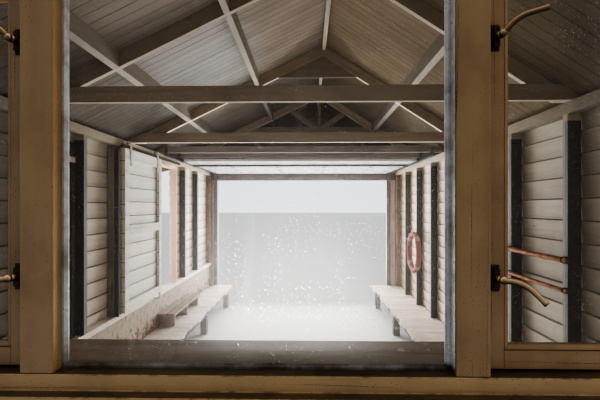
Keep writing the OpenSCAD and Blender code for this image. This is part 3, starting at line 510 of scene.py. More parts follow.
def addNode(bm, name):
    copy = bmesh.new()
    copy.from_mesh(nodes[name].data)
    bmesh.ops.remove_doubles(copy, verts=copy.verts, dist=1e-5)
    bmesh.ops.dissolve_limit(copy, angle_limit=0.01, verts=copy.verts, edges=copy.edges)
    copy.verts.index_update()
    made = [bm.verts.new(v.co) for v in copy.verts]
    for face in copy.faces:
        bm.faces.new([made[v.index] for v in face.verts])
    copy.free()


# A direction square to another
def squareTo(along):
    return along.cross(Vector((0, 0, 1)) if abs(along.z) < 0.9 else Vector((0, 1, 0))).normalized()


# A round bar along a path, with its own radius at each point
def sweep(bm, path, radii, sides=12):
    path = [Vector(p) for p in path]
    turns = [2 * math.pi * k / sides for k in range(sides)]
    rings = []
    side = None
    for i, p in enumerate(path):
        ahead = (path[min(i + 1, len(path) - 1)] - path[max(i - 1, 0)]).normalized()
        if side is None:
            side = squareTo(ahead)
        side = (side - ahead * side.dot(ahead)).normalized()
        up = ahead.cross(side)
        rings.append([bm.verts.new(p + (side * math.cos(t) + up * math.sin(t)) * radii[i]) for t in turns])
    bm.faces.new(rings[0][::-1])
    bm.faces.new(rings[-1])
    for a, b in zip(rings, rings[1:]):
        skin(bm, a, b)


# The loose pieces of a mesh, each as its vertices
def islands(bm):
    bm.verts.index_update()
    seen = [False] * len(bm.verts)
    for start in bm.verts:
        if seen[start.index]:
            continue
        group, queue = [], [start]
        seen[start.index] = True
        while queue:
            v = queue.pop()
            group.append(v)
            for e in v.link_edges:
                other = e.other_vert(v)
                if not seen[other.index]:
                    seen[other.index] = True
                    queue.append(other)
        yield group


def paintGrain(bm, rng):
    layer = bm.verts.layers.float_vector["grain"]
    for group in islands(bm):
        longest = max((e for v in group for e in v.link_edges), key=lambda e: e.calc_length())
        along = (longest.verts[1].co - longest.verts[0].co).normalized()
        side = squareTo(along)
        up = side.cross(along)
        shift = Vector([rng.uniform(0, meshLook["grainShift"]) for _ in range(3)])
        for v in group:
            v[layer] = Vector((v.co.dot(along), v.co.dot(side), v.co.dot(up))) + shift


# A piece stands for a CAD node and has its slot, or it is an extra one with a slot and a look of its own
def finishPiece(name, bm, node, bevel, segments=1, smooth=False, body=building, slot=None, look=None):
    bmesh.ops.recalc_face_normals(bm, faces=bm.faces)
    if bevel:
        sharp = [e for e in bm.edges if len(e.link_faces) == 2 and e.calc_face_angle(0) > meshLook["sharpAngle"]]
        cut = bmesh.ops.bevel(bm, geom=sharp, offset=bevel, offset_type="OFFSET", segments=segments, profile=0.5,
                              affect="EDGES", clamp_overlap=True)
        worn = bm.faces.layers.float["worn"]
        for face in cut["faces"]:
            face[worn] = 1.0
    paintGrain(bm, random.Random(name))
    mesh = bpy.data.meshes.new(name)
    bm.to_mesh(mesh)
    bm.free()
    if smooth:
        mesh.shade_smooth()
    slot = slot or slotOf[node]
    mesh.materials.append(finishes[look or (node if node in finishes else slot)])
    piece = bpy.data.objects.new(name, mesh)
    bpy.context.scene.collection.objects.link(piece)
    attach(piece, body)
    if node:
        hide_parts(node)


def dressedName(node):
    first, *rest = node.split("_")
    return first + "".join(word.capitalize() for word in rest) + "Dressed"


# A piece with a CAD node's own shape, but clean edges and grain
def dressNode(node, edge, segments=2, body=building):
    bm = newMesh()
    addNode(bm, node)
    finishPiece(dressedName(node), bm, node, edge, segments, body=body)


def boxOf(name):
    low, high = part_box(name)
    return Vector(low), Vector(high)


# Sizes of the hall that many pieces share, in metres
hall = {"halfWidth": 2.165, "halfLength": 3.93, "outX": 2.205, "outY": 4.05, "eavesZ": 3.015, "ridgeX": 0.31,
        "ridgeZ": 4.217, "roofY": 4.2, "eavesX": 2.455, "deckZ": 0.418, "walkZ": 0.45, "sillZ": 0.96}
halfLength, roofY = hall["halfLength"], hall["roofY"]
# The roof's rise over its run, to the left (-1) and the right (1) of the ridge
slopes = {side: (hall["ridgeZ"] - hall["eavesZ"]) / (hall["halfWidth"] - side * hall["ridgeX"]) for side in (-1, 1)}


def roofZ(x):
    side = -1 if x < hall["ridgeX"] else 1
    return hall["eavesZ"] + (hall["halfWidth"] - side * x) * slopes[side]


def roofEnds(z):
    if z <= roofZ(hall["outX"]):
        return -hall["outX"], hall["outX"]
    left, right = (min(hall["halfWidth"] - (z - hall["eavesZ"]) / slopes[side], hall["outX"]) for side in (-1, 1))
    return -left, right


def lapBoard(bm, place, ends, ledge, low, high, rng):
    foot = ledge - lapLook["pitch"] - lapLook["overlap"]
    top, bottom = min(ledge, high), max(foot, low)
    if top - bottom < lapLook["lowest"]:
        return
    lean = lapLook["lean"] - rng.uniform(0, lapLook["leanPlay"])
    loops = []
    for end in (0, 1):
        gap = lapLook["endGap"] * (1 - 2 * end)
        loops.append([place(ends(z)[end] + gap, lean * (ledge - z) / (ledge - foot) + out * lapLook["thick"], z)
                      for z, out in ((top, 0), (top, 1), (bottom, 1), (bottom, 0))])
    join(bm, *loops)


def lapCourses(bm, place, ends, ledge, low, high, rng, joints=()):
    course = ledge
    while course - lapLook["pitch"] > low:
        course -= lapLook["pitch"]
    while course - lapLook["pitch"] - lapLook["overlap"] < high:
        first, last = ends(min(max(course, low), high))
        inside = [j for j in joints if first + lapLook["jointFromEnd"] < j < last - lapLook["jointFromEnd"]]
        edges = [None] + ([rng.choice(inside)] if inside else []) + [None]
        for start, end in zip(edges, edges[1:]):
            def part(z, start=start, end=end):
                whole = ends(z)
                return (whole[0] if start is None else start, whole[1] if end is None else end)
            lapBoard(bm, place, part, course, low, high, rng)
        course += lapLook["pitch"]


# Side walls: under the roof by a gap, with joints between boards behind the posts
sideLook = {"roofGap": 0.001, "leftJoints": (-3.2075, -2.0125, -0.56, 1.9925, 2.7925),
            "rightJoints": [-3.6875 + i * 0.835 for i in range(9)]}


def makeSideWalls():
    window, lining = boxOf("side_window_frame"), boxOf("doorway_lining")
    y = [-halfLength, window[0].y, window[1].y, lining[0].y, lining[1].y, halfLength]
    leftTop, rightTop = (roofZ(side * hall["outX"]) - sideLook["roofGap"] for side in (-1, 1))
    low, joints = hall["sillZ"], sideLook["leftJoints"]
    for name, node, side, stretches, cuts in (
            ("leftBoardsRear", "left_wall_rear", -1, [(y[0], y[1], low, leftTop)], joints),
            ("leftBoardsMiddle", "left_wall_middle", -1, [(y[2], y[3], low, leftTop)], joints),
            ("leftBoardsFront", "left_wall_front", -1, [(y[4], y[5], low, leftTop)], joints),
            ("leftBoardsOverOpenings", "left_wall_over_openings", -1,
             [(y[1], y[2], window[1].z, leftTop), (y[3], y[4], lining[1].z, leftTop)], ()),
            ("rightBoards", "right_wall", 1, [(y[0], y[5], hall["deckZ"], rightTop)], sideLook["rightJoints"])):
        rng = random.Random(name)
        bm = newMesh()
        ledge = lapLook["ledges"][0 if side < 0 else 1]
        for y0, y1, z0, z1 in stretches:
            lapCourses(bm, lambda s, d, z: (side * (hall["halfWidth"] + d), s, z), lambda z: (y0, y1), ledge, z0, z1,
                       rng, cuts)
        finishPiece(name, bm, node, lapLook["bevel"])


makeSideWalls()
print("side walls made")

# End walls: lapped boards outside, upright matched boards inside, a core between them
endLook = {"matchWidth": 0.118, "matchThick": 0.018, "groove": 0.0035, "lapDepth": 0.04, "seam": 0.001,
           "boardGap": 0.0006, "underRidge": 0.012, "joints": (-1.2, 0.05, 1.1), "jointsFrom": 2.5, "lowest": 0.01}


# Zones of an end wall by their left, right, foot and top, which the roof cuts off
def endWall(name, node, end, zones):
    look = endLook
    rng = random.Random(name)
    bm = newMesh()
    outer, inner, seam = hall["outY"] - look["lapDepth"], halfLength, look["seam"]
    for x0, x1, low, high in zones:
        def ends(z, x0=x0, x1=x1):
            left, right = roofEnds(z)
            return max(left, x0), min(right, x1)
        lapCourses(bm, lambda s, d, z: (s, end * (outer + d), z), ends, lapLook["ledges"][1], low,
                   min(high, hall["ridgeZ"] - look["underRidge"]), rng,
                   look["joints"] if x1 - x0 > look["jointsFrom"] else ())
        tops = [(x, min(high, roofZ(x)) - seam) for x in (x1, hall["ridgeX"], x0) if x0 <= x <= x1]
        prism(bm, [(x0, low), (x1, low)] + tops, "y",
              *sorted((end * (inner + look["matchThick"] + seam), end * (outer - seam))))
        count = max(1, round((x1 - x0) / look["matchWidth"]))
        for i in range(count):
            a, b = (x0 + (x1 - x0) * (i + k) / count for k in (0, 1))
            heads = [min(high, roofZ(x)) - seam for x in (a, b)]
            if max(heads) <= low + look["lowest"]:
                continue
            a, b = a + look["boardGap"], b - look["boardGap"]
            prism(bm, [(a, low), (b, low), (b, heads[1]), (a, heads[0])], "y",
                  *sorted((end * inner, end * (inner + look["matchThick"]))))
    finishPiece(name, bm, node, look["groove"])


def makeEndWalls():
    outX, window = hall["outX"], boxOf("window_frame")
    below, sides, lake = (boxOf(node) for node in ("landward_wall_below", "landward_wall_sides", "lake_gable"))
    endWall("landwardBoardsBelow", "landward_wall_below", -1, [(-outX, outX, 0.0, below[1].z)])
    endWall("landwardBoardsSides", "landward_wall_sides", -1,
            [(-outX, window[0].x, sides[0].z, sides[1].z), (window[1].x, outX, sides[0].z, sides[1].z)])
    endWall("landwardBoardsGable", "landward_gable", -1, [(-outX, outX, sides[1].z, math.inf)])
    endWall("lakeBoardsGable", "lake_gable", 1, [(-outX, outX, lake[0].z, math.inf)])


makeEndWalls()

# Upright weathered planks on both sides of the mouth, in three layers, and the lintel over it
mouthLook = {"left": -1.935, "right": 1.885, "face": 0.030, "core": 0.031, "gap": 0.0008, "slack": 0.0015,
             "threeFrom": 0.3, "edge": 0.003, "lintelEdge": 0.006}


def makeMouth():
    look = mouthLook
    rng = random.Random("mouth")
    low, high = boxOf("lake_wall_sides")
    bm = newMesh()
    for x0, x1 in ((low.x, look["left"]), (look["right"], high.x)):
        count = 2 if x1 - x0 < look["threeFrom"] else 3
        for i in range(count):
            a, b = (x0 + (x1 - x0) * (i + k) / count for k in (0, 1))
            for y0, y1 in ((low.y, low.y + look["face"]), (low.y + look["core"], high.y - look["core"]),
                           (high.y - look["face"], high.y)):
                slack = rng.uniform(0.0, look["slack"])
                block(bm, (a + look["gap"], y0 + slack, low.z), (b - look["gap"], y1 - slack, high.z))
    finishPiece("mouthSides", bm, "lake_wall_sides", look["edge"])
    bm = newMesh()
    addNode(bm, "lake_lintel")
    finishPiece("mouthLintel", bm, "lake_lintel", look["lintelEdge"], 2)


makeMouth()
print("end walls made")

# Timbers that keep the frame's own shape, each with the width of its rounded edges
timberEdges = {
    "left_posts": 0.004, "right_posts": 0.004, "corner_posts": 0.006, "wall_plates": 0.004, "left_rafters": 0.003,
    "right_rafters": 0.003, "tie_beams": 0.004, "gusset_plates": 0.002, "cross_beams": 0.003, "ridge_beam": 0.002,
    "purlins": 0.002, "bargeboards": 0.003, "walkway_bearers": 0.006, "walkway_piles": 0.010, "left_sill": 0.005,
    "hall_sill": 0.004, "window_board": 0.005, "right_foundation": 0.006, "door_post": 0.005, "collar_truss": 0.002,
}
for node, edge in timberEdges.items():
    dressNode(node, edge)
print("timbers made")


# s runs up the slope from the eaves, h stands square to the roof boards' underside
def slopePoint(side, s, h):
    slope = slopes[side]
    size = math.sqrt(1 + slope * slope)
    x0 = side * hall["eavesX"]
    return x0 - side * s / size + side * h * slope / size, roofZ(x0) + s * slope / size + h / size


def slopeLength(side):
    return abs(hall["ridgeX"] - side * hall["eavesX"]) * math.sqrt(1 + slopes[side] * slopes[side])


# Ceiling boards, running up both slopes from the eaves to the ridge, some with a wider gap beside them
ceilingLook = {"width": 0.095, "thick": 0.025, "groove": 0.0014, "gap": 0.0008, "wideGap": 0.0034, "wideShare": 0.3,
               "lift": 0.0008, "ridgeGap": 0.004}


def makeCeiling():
    look = ceilingLook
    for side, name, node in ((-1, "ceilingBoardsLeft", "left_roof_boards"),
                             (1, "ceilingBoardsRight", "right_roof_boards")):
        rng = random.Random(name)
        bm = newMesh()
        count = round(2 * roofY / look["width"])
        length, slope, thick = slopeLength(side) - look["ridgeGap"], slopes[side], look["thick"]
        for i in range(count):
            gap = look["wideGap"] if rng.random() < look["wideShare"] else look["gap"]
            lift = rng.uniform(0, look["lift"])
            corners = ((lift * slope, lift), (length, lift), (length, thick), (thick * slope, thick))
            prism(bm, [slopePoint(side, s, h) for s, h in corners], "y", -roofY + 2 * roofY * i / count + gap,
                  -roofY + 2 * roofY * (i + 1) / count - look["gap"] / 2)
        finishPiece(name, bm, node, look["groove"])


makeCeiling()

# Clay pantiles on battens, in rows up both slopes, with half-round ridge tiles
tileLook = {"columns": 42, "gauge": 0.335, "length": 0.385, "thick": 0.011, "head": 0.004, "tilt": 0.015,
            "under": 0.025, "start": 0.055, "underRidge": 0.01, "shortest": 0.08, "slack": 0.003, "slackLift": 0.3,
            "batten": (0.038, 0.004), "battenOn": 0.01, "battenUnderRidge": 0.06, "battenIn": 0.002}
tileCurve = [(0.0, 0.012), (0.08, 0.006), (0.2, 0.001), (0.35, 0.0), (0.5, 0.003), (0.62, 0.010), (0.72, 0.019),
             (0.8, 0.0245), (0.88, 0.022), (0.95, 0.015), (0.995, 0.010)]


def addTile(bm, side, y, width, stations, slack):
    points = []
    for s, raised in stations:
        for layer in (0, 1):
            for u, c in tileCurve:
                h = tileLook["under"] + tileLook["head"] + raised + c + layer * tileLook["thick"]
                x, z = slopePoint(side, s, h + slack * tileLook["slackLift"])
                points.append((x, y + u * width, z))
    verts = [bm.verts.new(p) for p in points]
    n = len(tileCurve)
    for i in range(n - 1):
        for a, b in ((0, 2 * n), (n, 3 * n)):
            bm.faces.new((verts[a + i], verts[a + i + 1], verts[b + i + 1], verts[b + i]))
        for a in (0, 2 * n):
            bm.faces.new((verts[a + i], verts[a + i + 1], verts[a + n + i + 1], verts[a + n + i]))
    for i in (0, n - 1):
        bm.faces.new((verts[i], verts[n + i], verts[3 * n + i], verts[2 * n + i]))


def makeTiles():
    look = tileLook
    for side, name, node in ((-1, "pantilesLeft", "left_roof_cover"), (1, "pantilesRight", "right_roof_cover")):
        rng = random.Random(name)
        bm = newMesh()
        total = slopeLength(side)
        rows = math.ceil(total / look["gauge"])
        pitch = 2 * roofY / look["columns"]
        for row in range(rows):
            s0 = row * total / rows if row else look["start"]
            s1 = min(s0 + look["length"], total - look["underRidge"])
            if s1 - s0 < look["shortest"]:
                continue
            headTilt = look["tilt"] * (1 - (s1 - s0) / look["length"])
            for column in range(look["columns"]):
                slack = rng.uniform(-look["slack"], 0.0)
                stations = ((s0 - slack, look["tilt"]), (s1, headTilt))
                addTile(bm, side, -roofY + column * pitch, pitch, stations, slack)
        wide, deep = look["batten"]
        for row in range(rows):
            s = min((row + 1) * total / rows + look["battenOn"], total - look["battenUnderRidge"])
            corners = ((0, 0), (wide, 0), (wide, deep), (0, deep))
            prism(bm, [slopePoint(side, s + a, look["under"] + h) for a, h in corners], "y",
                  -roofY + look["battenIn"], roofY - look["battenIn"])
        finishPiece(name, bm, node, 0)


# Each ridge tile has a collar and a tail, by distances along it and how much less its radius is there. Discs close
# the ridge's two ends.
ridgeLook = {"radius": 0.110, "count": 25, "thick": 0.013, "collar": ((0.045, 0.0), (0.055, 0.007)),
             "tail": (0.001, 0.009), "sides": 16, "startDegrees": -22, "turnDegrees": 217,
             "discIn": (0.012, 0.030), "discLess": 0.014, "discThick": 0.018}


def makeRidge():
    look = ridgeLook
    bm = newMesh()
    radius, centreX = look["radius"], hall["ridgeX"]
    centreZ = boxOf("ridge_cap")[1].z - radius
    step = 2 * roofY / look["count"]
    sides = look["sides"]
    turns = [math.radians(look["startDegrees"] + look["turnDegrees"] * k / sides) for k in range(sides + 1)]
    for i in range(look["count"]):
        y = -roofY + i * step
        stations = [(y, 0.0)] + [(y + along, less) for along, less in look["collar"]]
        stations.append((y + step - look["tail"][0], look["tail"][1]))
        rings = []
        for at, less in stations:
            for inset in (0.0, look["thick"]):
                ring = arc(centreX, centreZ, radius - less - inset, turns)
                rings.append([bm.verts.new((x, at, z)) for x, z in ring])
        for k in range(0, len(rings) - 2, 2):
            for inner in (0, 1):
                skin(bm, rings[k + inner], rings[k + 2 + inner], False)
            for j in (0, sides):
                bm.faces.new((rings[k][j], rings[k + 1][j], rings[k + 3][j], rings[k + 2][j]))
        for k in (0, len(rings) - 2):
            skin(bm, rings[k], rings[k + 1], False)
    for y in (-roofY + look["discIn"][0], roofY - look["discIn"][1]):
        prism(bm, arc(centreX, centreZ, radius - look["discLess"], turns), "y", y, y + look["discThick"])
    finishPiece("ridgeTiles", bm, "ridge_cap", 0)


makeTiles()
makeRidge()
print("roof made")

# Brick base: half a brick thick in stretcher bond, with a sunk mortar bed
brickLook = {"length": 0.210, "height": 0.065, "joint": 0.010, "inset": 0.004, "endInset": 0.002, "wander": 0.0012,
             "shortest": 0.03, "edge": 0.0035}


def makeBrickBase():
    look = brickLook
    rng = random.Random("bricks")
    low, high = boxOf("left_plinth")
    bm = newMesh()
    rows = round((high.z - low.z) / (look["height"] + look["joint"]))
    course = (high.z - low.z) / rows
    step = look["length"] + look["joint"]
    for row in range(rows):
        y = low.y - (step / 2 if row % 2 else 0)
        while y < high.y:
            a, b = max(y, low.y), min(y + look["length"], high.y)
            y += step
            if b - a < look["shortest"]:
                continue
            x0, x1 = low.x + rng.uniform(0, look["wander"]), high.x - rng.uniform(0, look["wander"])
            z = low.z + row * course
            block(bm, (x0, a, z), (x1, b, z + course - look["joint"]))
    block(bm, (low.x + look["inset"], low.y + look["endInset"], low.z),
          (high.x - look["inset"], high.y - look["endInset"], high.z))
    finishPiece("brickBase", bm, "left_plinth", look["edge"])


makeBrickBase()

# Walkway planks: one by one, their ends as uneven over the water as the frame's and shifted in groups, two screws
# near each end
plankLook = {"count": 60, "edges": (-1.585, 1.525), "gap": 0.0025, "thick": 0.032, "bevel": 0.003, "sunk": 0.0007,
             "drop": 0.0018, "twist": 0.0007, "groups": (-0.030, 0.018), "groupShare": 0.45,
             "uneven": ((0.009, 137), (0.007, 61))}
screwLook = {"radius": 0.005, "fromWall": 0.09, "fromEnd": 0.11, "fromSide": 0.03, "depths": (0.004, 0.0004)}


def makeWalkways():
    look = plankLook
    screws = newMesh()
    turns = [t * math.pi / 4 for t in range(8)]
    for name, node, side, edge in (("planksLeft", "left_walkway", 1, look["edges"][0]),
                                   ("planksRight", "right_walkway", -1, look["edges"][1])):
        rng = random.Random(name)
        low, high = boxOf(node)
        bm = newMesh()
        step = 2 * halfLength / look["count"]
        wall = low.x if side > 0 else high.x
        shift = 0.0
        for i in range(look["count"]):
            y0 = -halfLength + i * step
            if rng.random() < look["groupShare"]:
                shift = rng.uniform(*look["groups"])
            wave = sum(size * math.sin(math.radians(i * turn)) for size, turn in look["uneven"])
            end = edge + side * (wave + shift)
            x0, x1 = sorted((wall, end))
            top = high.z - rng.uniform(0, look["drop"])
            twist = rng.uniform(-look["twist"], look["twist"])
            ya, yb = y0 + look["gap"] / 2, y0 + step - look["gap"] / 2
            corners = [(x0, ya), (x1, ya), (x1, yb), (x0, yb)]
            join(bm, [(x, y, high.z - look["thick"]) for x, y in corners],
                 [(x, y, top + (twist if k < 2 else -twist) - look["sunk"]) for k, (x, y) in enumerate(corners)])
            for x in (wall + side * screwLook["fromWall"], end - side * screwLook["fromEnd"]):
                for y in (y0 + screwLook["fromSide"], y0 + step - screwLook["fromSide"]):
                    depths = (top - d for d in screwLook["depths"])
                    prism(screws, arc(x, y, screwLook["radius"], turns), "z", *depths)
        finishPiece(name, bm, node, look["bevel"])
    finishPiece("plankScrews", screws, None, 0, slot="planks", look="screws")


makeWalkways()

# Step below the side doorway: its top of two boards, on three cross pieces that start at distances along it
stepLook = {"board": 0.04, "seam": 0.0005, "gap": 0.002, "cross": 0.04, "crossIn": 0.02, "near": 0.06, "far": 0.10,
            "edge": 0.004}


def makeStep():
    look = stepLook
    low, high = boxOf("door_step")
    bm = newMesh()
    middle = (low.x + high.x) / 2
    for x0, x1 in ((low.x, middle - look["gap"]), (middle + look["gap"], high.x)):
        block(bm, (x0, low.y, high.z - look["board"]), (x1, high.y, high.z))
    for y in (low.y + look["near"], (low.y + high.y) / 2 - look["cross"] / 2, high.y - look["far"]):
        block(bm, (low.x, y, low.z),
              (high.x - look["crossIn"], y + look["cross"], high.z - look["board"] - look["seam"]))
    finishPiece("stepBoards", bm, "door_step", look["edge"], 2)


makeStep()
print("base, walkways and step made")

# Ribbed rubber sleeves on the posts' camera-facing sides, and a plain strip beside the side window
sleeveLook = {"wide": 0.095, "thick": 0.004, "back": 0.032, "lip": 0.0002, "ribs": 4, "ribDepth": 0.0022,
              "ribEdges": (0.0015, 0.003, 0.002), "left": (-3.240, -2.045, -1.245, 1.960, 2.760),
              "right": [-3.720 + i * 0.835 for i in range(9)], "strip": ((-2.085, -0.600), (-2.035, -0.575))}


def makeSleeves():
    look = sleeveLook
    bm = newMesh()
    top = boxOf("post_sleeves")[1].z
    starts = [(-1, y, hall["sillZ"]) for y in look["left"]] + [(1, y, hall["walkZ"]) for y in look["right"]]
    t, back, ribs = look["thick"], look["back"], look["ribs"]
    rise, fall, notch = look["ribEdges"]
    outer, inner = look["wide"] + t, look["wide"] + look["lip"]
    outline = [(0.0, -t), (outer, -t)]
    for k in range(ribs):
        a, b = (-t + (back + t) * (k + n) / ribs for n in (0, 1))
        outline += [(outer, a + rise), (outer, b - fall), (outer - look["ribDepth"], b - notch)]
    outline += [(outer - look["ribDepth"], back), (inner, back), (inner, 0.0), (0.0, 0.0)]
    for side, y, z in starts:
        prism(bm, [(side * (hall["halfWidth"] - d), y + v) for d, v in outline], "z", z, top)
    block(bm, (*look["strip"][0], hall["sillZ"]), (*look["strip"][1], top))
    finishPiece("sleeves", bm, "post_sleeves", 0)


makeSleeves()

# Window members with rounded edges and mitred glazing beads, and beside the fixed pane a metal strip
windowLook = {"edge": 0.0025, "front": -4.067, "hallSide": -3.945, "face": -4.029, "back": -3.984, "glass": -4.014,
              "foot": 1.774, "top": 2.840, "head": 2.900, "outer": (-1.261, 1.203), "pane": (-0.553, 0.495),
              "mullion": 0.088, "jamb": 0.060, "casement": 0.560, "casementFoot": 1.780, "fit": 0.003,
              "stile": 0.049, "casementEdge": 0.0016, "bead": 0.013, "beadIn": 0.003, "beadGap": 0.0018,
              "beadSlope": 0.35, "paneBeadSlope": 0.6, "paneGap": 0.0045, "stop": 0.012, "stopProud": 0.001,
              "rebate": 0.028, "seam": 0.0004, "railSeam": 0.0003, "stripEdge": 0.0008, "glassEdge": 0,
              "strip": ((0.0016, 0.006, 0.0005), (0.0002, 0.0004, 0.0008)), "liningEdge": 0.003}
# Pale board over the side window's transom, its heights from the frame's foot
sideBar = {"foot": 1.676, "head": 1.729, "proud": 0.003, "edge": 0.001}


# A mitred ring of four beads round a pane, each sloping back from its outer edge to the glass
def beadRing(bm, x0, x1, z0, z1, width, face, glass, slope):
    corners = ((x0, z0), (x1, z0), (x1, z1), (x0, z1))
    inner = ((x0 + width, z0 + width), (x1 - width, z0 + width), (x1 - width, z1 - width), (x0 + width, z1 - width))
    for k in range(4):
        n = (k + 1) % 4
        ends = []
        for (ox, oz), (ix, iz) in ((corners[k], inner[k]), (corners[n], inner[n])):
            ends.append([(ox, face, oz), (ox + (ix - ox) * slope, face, oz + (iz - oz) * slope),
                         (ix, (face + glass) / 2, iz), (ix, glass, iz), (ox, glass, oz)])
        join(bm, *ends)


def makeWindow():
    look = windowLook
    front, hallSide, face, back, glass, foot, top, stop, seam, fit, stile, casement = (
        look[key] for key in ("front", "hallSide", "face", "back", "glass", "foot", "top", "stop", "seam", "fit",
                              "stile", "casement"))
    left, right = look["outer"]
    paneLeft, paneRight = look["pane"]
    opens = [left + look["jamb"], paneRight + look["mullion"]]
    bm = newMesh()
    block(bm, (left, front, top), (right, hallSide, look["head"]))
    block(bm, (left, front, foot), (opens[0], hallSide, top - seam))
    rebate, middle = look["rebate"], glass + look["paneGap"]
    a, b = opens[0] + casement, paneLeft
    prism(bm, [(a, front), (b, front), (b, middle), (b - rebate, middle), (b - rebate, hallSide), (a, hallSide),
               (a, middle)], "z", foot, top - seam)
    a, b = paneRight, opens[1]
    prism(bm, [(a, front), (b, front), (b, middle), (b, hallSide), (a + rebate, hallSide), (a + rebate, middle),
               (a, middle)], "z", foot, top - seam)
    block(bm, (opens[1] + casement, front, foot), (right, hallSide, top - seam))
    for a in opens:
        b = a + casement
        for x0, x1, z0, z1 in ((a + seam, a + stop, foot, top - 2 * seam),
                               (b - stop, b - seam, foot, top - 2 * seam),
                               (a + stop, b - stop, foot, look["casementFoot"] + stop),
                               (a + stop, b - stop, top - stop, top - 2 * seam)):
            block(bm, (x0, back, z0), (x1, hallSide + look["stopProud"], z1))
    finishPiece("windowFrame", bm, "window_frame", look["edge"], 2)
    bm = newMesh()
    thin = look["railSeam"]
    for x in opens:
        x0, x1, z0, z1 = x + fit, x + casement - fit, look["casementFoot"], top - fit
        for a, b in ((x0, x0 + stile), (x1 - stile, x1)):
            block(bm, (a, face, z0), (b, back - seam, z1))
        for a, b in ((z0, z0 + stile), (z1 - stile, z1)):
            block(bm, (x0 + stile + thin, face + thin, a), (x1 - stile - thin, back - 2 * thin, b))
        off = stile + look["beadGap"]
        beadRing(bm, x0 + off, x1 - off, z0 + off, z1 - off, look["bead"], face + look["beadIn"], glass,
                 look["beadSlope"])
    finishPiece("casementFrames", bm, "casements", look["casementEdge"], 2)
    bm = newMesh()
    beadRing(bm, paneLeft, paneRight, foot, top, look["bead"], face, glass, look["paneBeadSlope"])
    (dx, dy, dz), (ex, ey, ez) = look["strip"]
    block(bm, (paneRight - dx, front + dy, foot + dz), (paneRight - ex, face - ey, top - ez))
    finishPiece("paneStrip", bm, None, look["stripEdge"], slot="window_wood", look="pane_strip")
    dressNode("window_glass", look["glassEdge"])
    dressNode("side_window_glass", look["glassEdge"])
    dressNode("side_window_frame", look["liningEdge"])
    low, high = boxOf("side_window_frame")
    bm = newMesh()
    block(bm, (high.x - sideBar["proud"], low.y, sideBar["foot"] + low.z),
          (high.x + sideBar["proud"], high.y, sideBar["head"] + low.z))
    finishPiece("sideWindowBar", bm, None, sideBar["edge"], slot="sill_paint", look="side_window_bar")
    dressNode("doorway_lining", look["liningEdge"])


# Curved bronze levers, each on a dark plate and block. The neck's points go sideways and along Y from the block. The
# lever bends from its first angle to its second, from one part of its length over another, and tapers to a knob.
leverLook = {"plate": (0.021, 0.004, 0.070), "block": (0.016, 0.010, 0.052), "seam": 0.0002, "plateEdge": 0.0015,
             "heights": (2.022, 2.657), "neck": ((0.0, 0.002), (0.001, -0.006), (0.006, -0.016)),
             "neckRadii": (0.0105, 0.0098, 0.0088), "radius": 0.0070, "taper": (1.25, 0.35), "knob": (0.9, 0.12),
             "turns": ((0.10, 0.90), (0.88, 0.12)), "bend": (0.14, 0.5), "forward": 0.5, "steps": 14, "step": 0.0074,
             "pivot": 0.0098, "pivotEnds": (-0.011, 0.006)}


def makeLevers():
    look = leverLook
    bm, plates = newMesh(), newMesh()
    middle = windowLook["mullion"] + windowLook["fit"] + windowLook["stile"] / 2
    for side, x in ((1, windowLook["pane"][1] + middle), (-1, windowLook["pane"][0] - middle)):
        for up, z, (first, second) in zip((-1, 1), look["heights"], look["turns"]):
            y = windowLook["face"]
            for wide, deep, tall in (look["plate"], look["block"]):
                block(plates, (x - wide / 2, y - deep, z - tall / 2), (x + wide / 2, y - look["seam"], z + tall / 2))
                y -= deep
            neck = [Vector((x, y, z)) + Vector((side * out, along, 0)) for out, along in look["neck"]]
            sweep(bm, neck, look["neckRadii"])
            pivot = neck[-1]
            path, radii = [], []
            at = Vector(pivot)
            for k in range(look["steps"] + 1):
                part = k / look["steps"]
                turn = first + (second - first) * min(max((part - look["bend"][0]) / look["bend"][1], 0.0), 1.0)
                path.append(Vector(at))
                taper = look["taper"][0] - look["taper"][1] * part + look["knob"][1] * (part > look["knob"][0])
                radii.append(look["radius"] * taper)
                at += Vector((side * math.cos(turn), -look["forward"], up * math.sin(turn))) * look["step"]
            sweep(bm, path, radii)
            sweep(bm, [pivot + Vector((0, d, 0)) for d in look["pivotEnds"]], [look["pivot"]] * 2, 16)
    finishPiece("levers", bm, "window_handles", 0, smooth=True)
    finishPiece("leverPlates", plates, None, look["plateEdge"], 2, slot="handle_metal", look="black_iron")


makeWindow()
makeLevers()
print("windows made")

# Life ring with four pale bands
ringLook = {"bands": 4, "bandLength": 0.085, "ringLess": 0.002, "bandLess": 0.0003, "steps": 72, "bandSteps": 6,
            "sides": 20}


def ringPart(bm, centre, radius, thick, start, end, steps, closed):
    sides = ringLook["sides"]
    made = []
    for k in range(steps if closed else steps + 1):
        t = start + (end - start) * k / steps
        ring = []
        for j in range(sides):
            a = 2 * math.pi * j / sides
            r = radius + thick * math.cos(a)
            x, y, z = thick * math.sin(a), r * math.cos(t), r * math.sin(t)
            ring.append(bm.verts.new((centre.x + x, centre.y + y, centre.z + z)))
        made.append(ring)
    for a, b in zip(made, made[1:] + made[:1] if closed else made[1:]):
        skin(bm, a, b)
    if not closed:
        bm.faces.new(made[0][::-1])
        bm.faces.new(made[-1])


